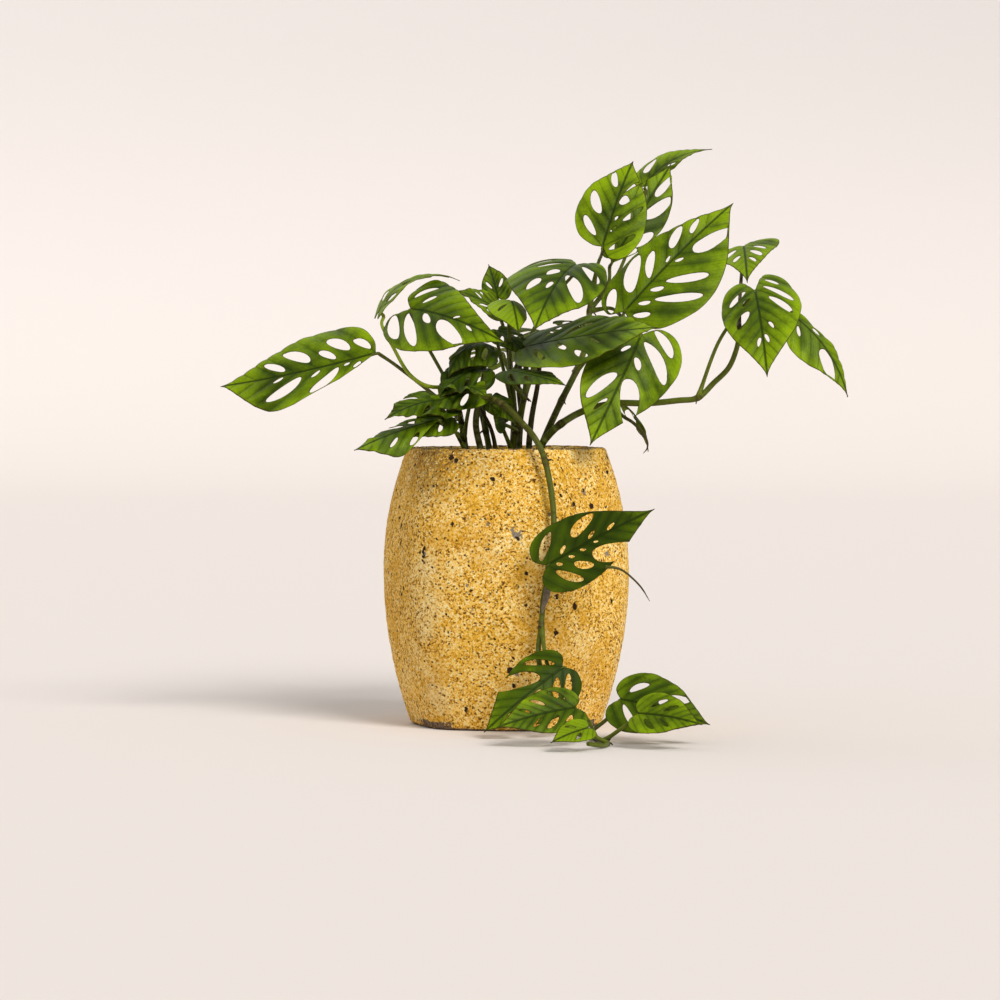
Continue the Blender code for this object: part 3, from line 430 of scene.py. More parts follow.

# Crumpled leaves that fill the clump over the pot's left side, drawn in the looks alone. Their dark green is
# partly painted shade.
CLUMP_LEAVES = (
    Leaf(
        "clump_leaf_dark", "mid_left_vine", 1, ((-17, -18, 246),),
        (-15, -30, 262), (-50, -54, 238), (-0.30, -0.60, 0.75), (19, 20), 60, TWO_SLITS, ONE_SLIT,
        fold=(-14, 10), cup=(-50, -40), lobes=(0.8, 1), youth=-0.50, crumpled=4.5,
    ),
    Leaf(
        "clump_leaf_low", "left_vine", 1, ((-26, -30, 236),),
        (-20, -38, 246), (-62, -60, 230), (0.10, -0.70, 0.70), (16, 17), 50, ONE_SLIT, TWO_SLITS,
        fold=(10, -20), cup=(-40, -50), youth=-0.12, crumpled=4.5,
    ),
    Leaf(
        "clump_leaf_grey", "left_vine", 0, ((-36, -32, 214),),
        (-42, -42, 227), (-70, -66, 211), (0.0, -0.80, 0.60), (15, 14), 30, ONE_SLIT, (),
        fold=(4, 14), cup=(-30, -30), youth=-0.10, crumpled=2.6,
    ),
    Leaf(
        "clump_leaf_right", "front_vine", 0, ((-4, -22, 222), (-8, -26, 236)),
        (-10, -30, 241), (7, -50, 221), (0.10, -0.70, 0.65), (10, 11), 30, (), ONE_SLIT,
        fold=(8, -10), cup=(-30, -30), youth=-0.15, crumpled=2.6,
    ),
    Leaf(
        "clump_leaf_back", "centre_vine", 1, ((-4, 8, 270),),
        (-6, 6, 290), (16, -18, 268), (0.15, -0.65, 0.75), (13, 13), 40, ONE_SLIT, ONE_SLIT,
        fold=(4, 4), cup=(-34, -34), youth=-0.10, crumpled=2.2,
    ),
)


# Shared tools


def smooth_curve(points: Sequence, steps: int) -> list[Vector]:
    """Points along a Catmull-Rom curve through these points.

    Args:
        points: The points that it passes.
        steps: How many steps it takes from one to the next.

    Returns:
        The curve's points, both ends among them.
    """
    points = [Vector(p) for p in points]
    ends = [2 * points[0] - points[1]] + points + [2 * points[-1] - points[-2]]
    found = []
    for before, start, end, after in zip(ends, ends[1:], ends[2:], ends[3:]):
        for step in range(steps):
            t = step / steps
            square = 2 * before - 5 * start + 4 * end - after
            cube = 3 * start - before - 3 * end + after
            found.append(0.5 * (2 * start + (end - before) * t + square * t * t + cube * t**3))
    return found + [points[-1]]


def hump(distance: float, width: float) -> float:
    """A soft hump: 1 at no distance, falling away over width."""
    return math.exp(-((distance / width) ** 2))


def smooth_step(value: float, low: float, high: float) -> float:
    """A smooth step from 0 at low to 1 at high."""
    share = min(1.0, max(0.0, (value - low) / (high - low)))
    return share * share * (3 - 2 * share)


def search_tree(places: Sequence) -> KDTree:
    """A tree that finds the nearest of these places."""
    tree = KDTree(len(places))
    for index, place in enumerate(places):
        tree.insert(place, index)
    tree.balance()
    return tree


def spun(section: Sequence[Pair], steps: int) -> bmesh.types.BMesh:
    """A (radius, height) section spun once round Z, welded at its seam and poles."""
    bm = bmesh.new()
    corners = [bm.verts.new((radius, 0, height)) for radius, height in section]
    edges = [bm.edges.new(pair) for pair in zip(corners, corners[1:])]
    turn = {"cent": (0, 0, 0), "axis": (0, 0, 1), "dvec": (0, 0, 0), "angle": 2 * math.pi, "steps": steps}
    bmesh.ops.spin(bm, geom=corners + edges, use_merge=True, **turn)
    bmesh.ops.remove_doubles(bm, verts=bm.verts[:], dist=WELD)
    return bm


def added(obj: bpy.types.Object) -> bpy.types.Object:
    """The object again, now in the scene."""
    bpy.context.scene.collection.objects.link(obj)
    return obj


def meshed(
    bm: bmesh.types.BMesh, name: str, finishes: Sequence[bpy.types.Material]
) -> bpy.types.Object:
    """An object of this shape, which is freed, in these materials."""
    mesh = bpy.data.meshes.new(name)
    bm.to_mesh(mesh)
    bm.free()
    for finish in finishes:
        mesh.materials.append(finish)
    mesh.shade_smooth()
    return added(bpy.data.objects.new(name, mesh))


def published(
    bm: bmesh.types.BMesh,
    name: str,
    finishes: Sequence[bpy.types.Material],
    node: Optional[str] = None,
) -> bpy.types.Object:
    """Makes a finished piece of the part.

    Args:
        bm: Its shape, in place. It is freed.
        name: The piece's name.
        finishes: Its materials.
        node: The solid that the piece stands for, if there is one.

    Returns:
        The piece, riding on the part's one body.
    """
    bmesh.ops.recalc_face_normals(bm, faces=bm.faces[:])
    piece = meshed(bm, name, finishes)
    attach(piece, "root")
    if node:
        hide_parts(node)
    LOG.info("%s: %d faces", name, len(piece.data.polygons))
    return piece


# Shader nodes, written as expressions


class Noise(NamedTuple):
    """Soft noise: its waves a metre, its octaves, and how much of each finer one it keeps."""

    scale: float
    detail: float = 2.0
    keep: float = 0.5


class Link:
    """A node's output. Python's operators on it add Math nodes."""

    def __init__(self, graph: "Graph", socket: bpy.types.NodeSocket) -> None:
        """Wraps one output socket."""
        self.graph = graph
        self.socket = socket

    def math(self, operation: str, *terms: "Value") -> "Link":
        """A Math node of this operation on these terms."""
        return self.graph.add("ShaderNodeMath", {"operation": operation}, dict(enumerate(terms)))

    def __add__(self, other: "Value") -> "Link":
        """self + other."""
        return self.math("ADD", self, other)

    def __sub__(self, other: "Value") -> "Link":
        """self - other."""
        return self.math("SUBTRACT", self, other)

    def __rsub__(self, other: "Value") -> "Link":
        """other - self."""
        return self.math("SUBTRACT", other, self)

    def __mul__(self, other: "Value") -> "Link":
        """self * other."""
        return self.math("MULTIPLY", self, other)

    def __abs__(self) -> "Link":
        """The size of self."""
        return self.math("ABSOLUTE", self)

    __radd__ = __add__
    __rmul__ = __mul__

    def fraction(self) -> "Link":
        """What is left of self past its whole number."""
        return self.math("FRACT", self)

    def most(self, other: "Value") -> "Link":
        """The larger of the two."""
        return self.math("MAXIMUM", self, other)

    def step(self, low: float, high: float) -> "Link":
        """A smooth step from 0 at low to 1 at high. It falls where low is the larger."""
        ends = {"From Min": min(low, high), "From Max": max(low, high)}
        ends.update({"To Min": float(low > high), "To Max": float(low < high)})
        settings = {"interpolation_type": "SMOOTHSTEP"}
        return self.graph.add("ShaderNodeMapRange", settings, {"Value": self, **ends})


Value = Union[Link, float, tuple]


class Graph:
    """The nodes of one material."""

    def __init__(self, name: str) -> None:
        """Starts a material with no nodes."""
        self.material = bpy.data.materials.new(name)
        self.material.use_nodes = True
        self.tree = self.material.node_tree
        self.tree.nodes.clear()

    def add(
        self,
        kind: str,
        settings: Optional[dict] = None,
        values: Optional[dict] = None,
        output: Union[int, str] = 0,
    ) -> Link:
        """Adds a node.

        Args:
            kind: The node's type.
            settings: Its properties. stops holds a ramp's places and colours.
            values: A constant or a link for each input, by name or number.
            output: The output that is wanted.

        Returns:
            That output.
        """
        node = self.tree.nodes.new(kind)
        for name, value in (settings or {}).items():
            if name == "stops":
                ramp = node.color_ramp.elements
                for _ in range(len(value) - len(ramp)):
                    ramp.new(0.5)
                for element, (place, colour) in zip(ramp, value):
                    element.position = place
                    element.color = (*colour, 1)
            else:
                setattr(node, name, value)
        for key, value in (values or {}).items():
            if isinstance(value, Link):
                self.tree.links.new(value.socket, node.inputs[key])
            else:
                node.inputs[key].default_value = value
        return Link(self, node.outputs[output] if len(node.outputs) else None)

    def mixed(self, share: Value, first: Union[Link, Colour], second: Union[Link, Colour]) -> Link:
        """The first colour where share is 0, and the second where it is 1."""
        first, second = (c if isinstance(c, Link) else (*c, 1) for c in (first, second))
        return self.add("ShaderNodeMix", {"data_type": "RGBA"}, {0: share, 6: first, 7: second}, 2)

    def layered(self, base: Link, layers: Sequence[tuple]) -> Link:
        """The base under these layers, each a share and a colour."""
        for share, colour in layers:
            base = self.mixed(share, base, colour)
        return base

    def place(self) -> Link:
        """The point's place in the part's frame."""
        return self.add("ShaderNodeTexCoord", output="Object")

    def attribute(self, name: str, output: str = "Fac") -> Link:
        """An attribute of the piece's own mesh."""
        return self.add("ShaderNodeAttribute", {"attribute_name": name}, output=output)

    def noise(self, vector: Link, kind: Noise) -> Link:
        """Soft noise round 0.5."""
        values = {"Vector": vector, "Scale": kind.scale, "Detail": kind.detail, "Roughness": kind.keep}
        return self.add("ShaderNodeTexNoise", {}, values)

    def cells(self, vector: Link, scale: float, output: str, feature: str = "F1") -> Link:
        """Random cells: their distance, colour or place."""
        values = {"Vector": vector, "Scale": scale}
        return self.add("ShaderNodeTexVoronoi", {"feature": feature}, values, output)

    def red(self, colour: Link) -> Link:
        """The red channel, as one number."""
        return self.add("ShaderNodeSeparateColor", {}, {0: colour}, "Red")

    def ramp(self, share: Link, stops: Sequence[tuple[float, Colour]]) -> Link:
        """A colour ramp."""
        return self.add("ShaderNodeValToRGB", {"stops": stops}, {0: share})

    def weighed(self, links: Sequence[Link], weights: Sequence[float]) -> Link:
        """The sum of the links, each times its weight."""
        parts = [link * weight for link, weight in zip(links, weights)]
        return sum(parts[1:], parts[0])

    def bump(self, height: Link, depth: float) -> Link:
        """The normal of a surface that rises by depth metres where height is 1."""
        return self.add("ShaderNodeBump", {}, {"Height": height, "Distance": depth, "Strength": 1.0})

    def finished(self, values: dict) -> bpy.types.Material:
        """The material, with a Principled shader of these inputs."""
        values = {k: (*v, 1) if isinstance(v, tuple) and len(v) == 3 else v for k, v in values.items()}
        shader = self.add("ShaderNodeBsdfPrincipled", {}, values)
        self.add("ShaderNodeOutputMaterial", {}, {"Surface": shader})
        return self.material


# The finishes


@dataclass(frozen=True)
class LeafFinish:
    """Satin green blade. The upper side is deep and glossy, and the underside paler with raised veins.

    A span holds the values between which a marking fades in, a lime is how far a thing yellows the green, a
    tint is how strongly a marking is laid over it, and a rise is how high a marking stands.
    The valley shade is painted shade in the valleys of the blade's quilting, and the crest highlight is
    painted light on its crests.
    """

    deep: Colour
    plain: Colour
    fresh: Colour
    rib: Colour
    edge: Colour
    least_roughness: float
    raised: float
    roughness_spread: float = 0.24
    sheen: float = 0.09
    veins: int = 8
    fine_veins: int = 40
    fine_wander: float = 0.03
    net_scale: float = 46.0
    vein_depth: float = 0.28 * MM
    skin_depth: float = 0.04 * MM
    wander_noise: Noise = Noise(60.0)
    patch_noise: Noise = Noise(26.0, 3.0, 0.55)
    blot_noise: Noise = Noise(110.0, 3.0, 0.6)
    fleck_noise: Noise = Noise(420.0, 3.0, 0.6)
    skin_noise: Noise = Noise(900.0)
    vein_span: Pair = (0.07, 0.0)
    vein_reach: Pair = (0.40, 0.02)
    fine_span: Pair = (0.20, 0.0)
    net_span: Pair = (0.12, 0.0)
    patch_span: Pair = (0.30, 0.70)
    tip_span: Pair = (0.62, 1.02)
    lime_span: Pair = (0.0, 1.15)
    between_span: Pair = (0.05, 0.5)
    # Painted shade in the valleys of the quilting
    valley_shade_span: Pair = (0.45, 1.0)
    by_rib_span: Pair = (0.16, 0.0)
    by_base_span: Pair = (1.0, 0.3)
    rib_span: Pair = (0.0128, 0.0032)
    rim_span: Pair = (0.10, 0.75)
    tip_lime: float = 0.50
    margin_lime: float = 0.42
    patch_lime: float = 0.44
    blot_lime: float = 0.8
    fleck_lime: float = 0.5
    # Painted light on the crests of the quilting
    crest_highlight: float = 0.30
    crest_highlight_level: float = 0.42
    between_tint: float = 0.17
    between_shade: float = 0.3
    # The strength of the painted shade in the quilting's valleys
    valley_shade_tint: float = 0.28
    by_rib_tint: float = 0.30
    vein_tint: float = 0.42
    fine_tint: float = 0.18
    net_tint: float = 0.14
    rib_tint: float = 0.85
    rim_tint: float = 0.88
    vein_rise: float = 0.7
    fine_rise: float = 0.12
    net_rise: float = 0.16

    def material(self, name: str) -> bpy.types.Material:
        """Builds the finish.

        Args:
            name: The material's name.

        Returns:
            A material that reads the blade's own UV map, in decimetres across and shares of its length along,
            and its attributes rim, margin, youth and the depth of the relief's valleys, from which it paints
            shade in the valleys and light on the crests.
        """
        graph = Graph(name)
        flat = graph.add("ShaderNodeUVMap", {"uv_map": "blade"})
        across = abs(graph.add("ShaderNodeSeparateXYZ", {}, {0: flat}, "X"))
        along = graph.add("ShaderNodeSeparateXYZ", {}, {0: flat}, "Y")
        place = graph.place()
        youth, margin = graph.attribute("youth"), graph.attribute("margin")
        valley, rim = graph.attribute("valley"), graph.attribute("rim")

        from_vein = abs((along * self.veins + 0.5).fraction() - 0.5)
        vein = from_vein.step(*self.vein_span) * across.step(*self.vein_reach)
        wander = graph.noise(place, self.wander_noise) - 0.5
        from_fine = abs(((along + wander * self.fine_wander) * self.fine_veins).fraction() - 0.5)
        fine = from_fine.step(*self.fine_span)
        rib = across.step(*self.rib_span)
        net = graph.cells(flat, self.net_scale, "Distance", "DISTANCE_TO_EDGE").step(*self.net_span)

        patches = graph.noise(place, self.patch_noise).step(*self.patch_span)
        blots = graph.noise(place, self.blot_noise)
        flecks = graph.noise(place, self.fleck_noise)
        # Youth below 0 darkens the green: in part painted shade for the leaves deep in the clump
        shade = (youth * -1.0).most(0.0)
        green = graph.mixed((patches - shade).most(0.0), self.deep, self.plain)
        lime = youth + along.step(*self.tip_span) * self.tip_lime + margin * self.margin_lime
        lime = lime + (patches - 0.5) * self.patch_lime + (blots - 0.5) * self.blot_lime
        # Painted light: the quilting's crests yellow as if lit, the more the less they lie in a valley
        lime = lime + (self.crest_highlight_level - valley) * self.crest_highlight + (flecks - 0.5) * self.fleck_lime
        between = (self.between_tint - shade * self.between_shade).most(0.0)
        by_rib = across.step(*self.by_rib_span) * along.step(*self.by_base_span)
        layers = (
            (lime.most(0.0).step(*self.lime_span), self.fresh),
            (from_vein.step(*self.between_span) * between, self.fresh),
            # Painted shade in the valleys of the quilting
            (valley.step(*self.valley_shade_span) * self.valley_shade_tint, self.deep),
            (by_rib * self.by_rib_tint, self.rib),
            (vein * self.vein_tint, self.rib),
            (fine * self.fine_tint + net * self.net_tint, self.rib),
            (rib * self.rib_tint, self.rib),
            (rim.step(*self.rim_span) * self.rim_tint, self.edge),
        )

        relief = (vein * self.vein_rise + fine * self.fine_rise + net * self.net_rise + rib) * self.raised
        relief = relief + graph.noise(place, self.skin_noise) * (self.skin_depth / self.vein_depth)
        return graph.finished(
            {
                "Base Color": graph.layered(green, layers),
                "Roughness": blots * self.roughness_spread + self.least_roughness,
                "Normal": graph.bump(relief, self.vein_depth),
                "Specular IOR Level": self.sheen,
            }
        )


@dataclass(frozen=True)
class StemFinish:
    """A stem's skin: brown bark low down, then fresh green, streaked lengthwise and scarred at the nodes."""

    bark: Colour = (0.052, 0.034, 0.011)
    olive: Colour = (0.095, 0.120, 0.008)
    fresh: Colour = (0.260, 0.340, 0.012)
    scar: Colour = (0.050, 0.026, 0.010)
    least_roughness: float = 0.34
    roughness_spread: float = 0.25
    sheen: float = 0.20
    streak_depth: float = 0.15 * MM
    streak_noise: Noise = Noise(5.0, 4.0, 0.65)
    fleck_noise: Noise = Noise(420.0)
    streakiness: float = 0.9
    fleck_span: Pair = (0.60, 0.74)
    fleck_tint: float = 0.4
    fleck_rise: float = 0.4
    scar_tint: float = 0.85

    def material(self, name: str) -> bpy.types.Material:
        """Builds the finish from the stem's own attributes grain, youth and scar."""
        graph = Graph(name)
        streaks = graph.noise(graph.attribute("grain", "Vector"), self.streak_noise)
        flecks = graph.noise(graph.place(), self.fleck_noise)
        youth = graph.attribute("youth") + (streaks - 0.5) * self.streakiness
        young = graph.mixed(youth.step(0.0, 0.5), self.bark, self.olive)
        layers = (
            (youth.step(0.5, 1.0), self.fresh),
            (flecks.step(*self.fleck_span) * self.fleck_tint, self.scar),
            (graph.attribute("scar") * self.scar_tint, self.scar),
        )
        return graph.finished(
            {
                "Base Color": graph.layered(young, layers),
                "Roughness": streaks * self.roughness_spread + self.least_roughness,
                "Normal": graph.bump(streaks + flecks * self.fleck_rise, self.streak_depth),
                "Specular IOR Level": self.sheen,
            }
        )


@dataclass(frozen=True)
class StonewareFinish:
    """Rough golden stoneware: a dense grain of ochre, gold and brown, pale with wear and with a painted
    highlight along its ridges, browned and painted with shadow on its upper left, pitted and chipped.

    coarse, small, fleck and pocks are cells a metre. A span holds the values between which a marking fades
    in, a tint is how strongly it is laid on, and a tear is how ragged its edge is.
    """

    gold: Colour = (0.840, 0.462, 0.050)
    ochre: Colour = (0.600, 0.280, 0.020)
    pale: Colour = (0.950, 0.630, 0.150)
    cream: Colour = (0.970, 0.820, 0.420)
    brown: Colour = (0.120, 0.060, 0.014)
    yellow: Colour = (0.860, 0.480, 0.022)
    speck: Colour = (0.070, 0.032, 0.010)
    pit: Colour = (0.034, 0.018, 0.009)
    chip: Colour = (0.180, 0.170, 0.160)
    clay: Colour = (0.230, 0.165, 0.110)
    least_roughness: float = 0.70
    roughness_spread: float = 0.2
    sheen: float = 0.10
    grain_depth: float = 0.90 * MM
    coarse: float = 740.0
    small: float = 1150.0
    fleck: float = 340.0
    pocks: float = 80.0
    broad_noise: Noise = Noise(14.0, 3.0, 0.6)
    cloud_noise: Noise = Noise(52.0, 3.0, 0.6)
    fair_noise: Noise = Noise(31.0, 3.0, 0.6)
    lump_noise: Noise = Noise(380.0, 3.0, 0.7)
    edge_noise: Noise = Noise(190.0, 3.0, 0.7)
    tone_weights: tuple = (0.56, 0.44, 0.58)
    tone_level: float = 0.275
    tone_drift: float = 0.10
    tone_stops: tuple = (0.13, 0.27, 0.45, 0.64, 0.86)
    broad_span: Pair = (0.32, 0.68)
    cloud_span: Pair = (0.3, 0.7)
    fair_span: Pair = (0.48, 0.70)
    warm_span: Pair = (0.50, 1.0)
    yellow_span: Pair = (0.48, 0.62)
    wear_and_highlight_span: Pair = (0.30, 1.0)
    crest_span: Pair = (0.15, 0.6)
    browning_and_shadow_span: Pair = (0.30, 0.70)
    browning_and_shadow_weights: Pair = (0.6, 0.5)
    speck_span: Pair = (0.34, 0.16)
    speck_jitter: float = 0.16
    pale_chosen: Pair = (0.24, 0.18)
    dark_chosen: Pair = (0.73, 0.77)
    dark_by_browning_and_shadow: float = 0.26
    dark_by_clouds: float = 0.25
    pock_chosen: Pair = (0.50, 1.0)
    pock_depth: float = 0.9
    pock_slope: float = 4.8
    pock_tear: float = 1.6
    pock_level: float = 0.40
    raggedness: float = 0.9
    hole_span: Pair = (0.30, 0.52)
    hole_tear: float = 0.6
    flake_span: Pair = (0.40, 0.56)
    flake_tear: float = 1.3
    clay_span: Pair = (0.44, 0.60)
    clay_tear: Pair = (0.6, 2.4)
    clay_tone_span: Pair = (0.1, 0.8)
    chip_cloud_span: Pair = (0.4, 0.6)
    warm_tint: float = 0.40
    yellow_tint: float = 0.26
    wear_and_highlight_tint: float = 0.45
    fair_tint: float = 0.18
    browning_and_shadow_tint: float = 0.8
    pale_tint: float = 0.7
    dark_tint: float = 0.92
    flake_tint: float = 0.9
    rises: tuple = (0.35, 0.2, 0.8)
    hole_drop: float = 0.8
    speck_drop: float = 0.4

    def material(self, name: str) -> bpy.types.Material:
        """Builds the finish from Object coordinates and the pot's attributes for pits, chips, wear, bare clay
        and browning. The wear also paints a highlight along the ridges, the bare clay the shade inside the
        pot, and the browning a shadow on the upper left.
        """
        graph = Graph(name)
        place = graph.place()
        worn, bare, soot = graph.attribute("worn"), graph.attribute("bare"), graph.attribute("soot")
        pit, chip = graph.attribute("pit"), graph.attribute("chip")
        broad, clouds = graph.noise(place, self.broad_noise), graph.noise(place, self.cloud_noise)
        lumps = graph.noise(place, self.lump_noise)
        coarse = graph.red(graph.cells(place, self.coarse, "Color"))
        small = graph.red(graph.cells(place, self.small, "Color"))

        grains = (coarse, small, lumps)
        tone = graph.weighed(grains, self.tone_weights) - self.tone_level
        warm = (broad.step(*self.broad_span) + clouds.step(*self.cloud_span)) * 0.5
        fair = graph.noise(place, self.fair_noise).step(*self.fair_span)
        ramp = tuple(zip(self.tone_stops, (self.brown, self.ochre, self.gold, self.pale, self.cream)))
        grained = graph.ramp(tone + (fair - warm) * self.tone_drift, ramp)
        # Paler along the ridges: partly wear and partly a painted highlight
        light = worn.step(*self.wear_and_highlight_span) * self.wear_and_highlight_tint + fair * self.fair_tint
        browning_and_shadow_grain = graph.weighed((small, lumps), self.browning_and_shadow_weights).step(*self.browning_and_shadow_span)

        specks = graph.cells(place, self.fleck, "Distance") + (small - 0.5) * self.speck_jitter
        specks = specks.step(*self.speck_span)
        chosen = graph.red(graph.cells(place, self.fleck, "Color"))
        pale = specks * chosen.step(*self.pale_chosen)
        # More dark specks where the wall is browned and painted with shadow
        chosen = chosen + soot * self.dark_by_browning_and_shadow + (clouds - 0.5) * self.dark_by_clouds
        dark = specks * chosen.step(*self.dark_chosen)

        ragged = (lumps - 0.5) * self.raggedness
        torn_edge = graph.noise(place, self.edge_noise) - 0.5
        pock = graph.red(graph.cells(place, self.pocks, "Color")).step(*self.pock_chosen) * self.pock_depth
        pock = pock - graph.cells(place, self.pocks, "Distance") * self.pock_slope
        pock = pock + torn_edge * self.pock_tear
        hole = (pit.most(pock + self.pock_level) + ragged * self.hole_tear).step(*self.hole_span)
        flake = (chip + ragged + torn_edge * self.flake_tear).step(*self.flake_span)
        clay = bare + graph.weighed((ragged, torn_edge), self.clay_tear)
        bared = graph.mixed(tone.step(*self.clay_tone_span), self.speck, self.clay)
        chipped = graph.mixed(clouds.step(*self.chip_cloud_span), self.chip, self.pit)
        layers = (
            (warm.step(*self.warm_span) * self.warm_tint, self.ochre),
            (clouds.step(*self.yellow_span) * self.yellow_tint, self.yellow),
            (light * tone.step(*self.crest_span), self.cream),
            # Painted shadow and browning: brown grain on the upper left, most under the lip below the foliage
            (soot * browning_and_shadow_grain * self.browning_and_shadow_tint, self.brown),
            (pale * self.pale_tint, self.cream),
            (dark * self.dark_tint, self.speck),
            (clay.step(*self.clay_span), bared),
            (flake * self.flake_tint, chipped),
            (hole, self.pit),
        )
        height = graph.weighed(grains, self.rises) - hole * self.hole_drop - dark * self.speck_drop
        return graph.finished(
            {
                "Base Color": graph.layered(grained, layers),
                "Roughness": small * self.roughness_spread + self.least_roughness,
                "Normal": graph.bump(height, self.grain_depth),
                "Specular IOR Level": self.sheen,
            }
        )


@dataclass(frozen=True)
class CrumbFinish:
    """Anything crumbly: two tones mixed by a coarse and a fine noise."""

    dark: Colour
    light: Colour
    scale: float
    roughness: float = 0.95
    depth: float = 0.6 * MM
    fineness: float = 4.0
    weights: Pair = (0.7, 0.3)
    span: Pair = (0.30, 0.70)
    fine_rise: float = 0.3

    def material(self, name: str) -> bpy.types.Material:
        """Builds the finish from Object coordinates."""
        graph = Graph(name)
        place = graph.place()
        coarse = graph.noise(place, Noise(self.scale, detail=4.0, keep=0.7))
        fine = graph.noise(place, Noise(self.scale * self.fineness))
        crumbs = graph.weighed((coarse, fine), self.weights).step(*self.span)
        return graph.finished(
            {
                "Base Color": graph.mixed(crumbs, self.dark, self.light),
                "Roughness": self.roughness,
                "Normal": graph.bump(coarse + fine * self.fine_rise, self.depth),
            }
        )


@dataclass(frozen=True)
class Finishes:
    """Every finish of the part, made once."""

    leaf: tuple
    stem: bpy.types.Material
    stoneware: bpy.types.Material
    mix: bpy.types.Material
    bark: bpy.types.Material
    perlite: bpy.types.Material
    papery: bpy.types.Material

    @classmethod
    def made(cls) -> "Finishes":
        """Makes them all."""
        upper = LeafFinish(
            deep=(0.024, 0.046, 0.0008),
            plain=(0.085, 0.148, 0.001),
            fresh=(0.250, 0.385, 0.001),
            rib=(0.016, 0.031, 0.001),
            edge=(0.046, 0.034, 0.003),
            least_roughness=0.28,
            raised=-1.0,
        )
        under = LeafFinish(
            deep=(0.072, 0.115, 0.008),
            plain=(0.115, 0.175, 0.010),
            fresh=(0.250, 0.360, 0.015),
            rib=(0.190, 0.255, 0.035),
            edge=(0.060, 0.048, 0.010),
            least_roughness=0.43,
            raised=1.0,
        )
        return cls(
            leaf=(upper.material("leaf_upper"), under.material("leaf_under")),
            stem=StemFinish().material("vine_stem"),
            stoneware=StonewareFinish().material("stoneware"),
            mix=CrumbFinish((0.010, 0.006, 0.004), (0.055, 0.034, 0.020), 160.0).material("mix"),
            bark=CrumbFinish((0.030, 0.014, 0.007), (0.150, 0.075, 0.032), 220.0).material("bark"),
            perlite=CrumbFinish((0.50, 0.48, 0.43), (0.82, 0.80, 0.74), 500.0).material("perlite"),
            papery=CrumbFinish((0.070, 0.050, 0.032), (0.230, 0.180, 0.120), 260.0, 0.7).material("papery"),
        )


# The blades


def torn(outline: Loop, hole: Loop) -> Loop:
    """The outline opened out into a hole that crosses it."""
    crossings = []
    for i, (a, b) in enumerate(zip(outline, outline[1:] + outline[:1])):
        for j, (c, d) in enumerate(zip(hole, hole[1:] + hole[:1])):
            point = intersect_line_line_2d(a, b, c, d)
            if point:
                crossings.append((i, (point - Vector(a)).length, j, tuple(point)))
    crossings.sort()
    (first, _, turn_in, start), (last, _, turn_out, end) = crossings[0], crossings[-1]
    count = (turn_in - turn_out) % len(hole)
    inner = [hole[(turn_in - step) % len(hole)] for step in range(count)]
    return outline[: first + 1] + [start, *inner, end] + outline[last + 1 :]


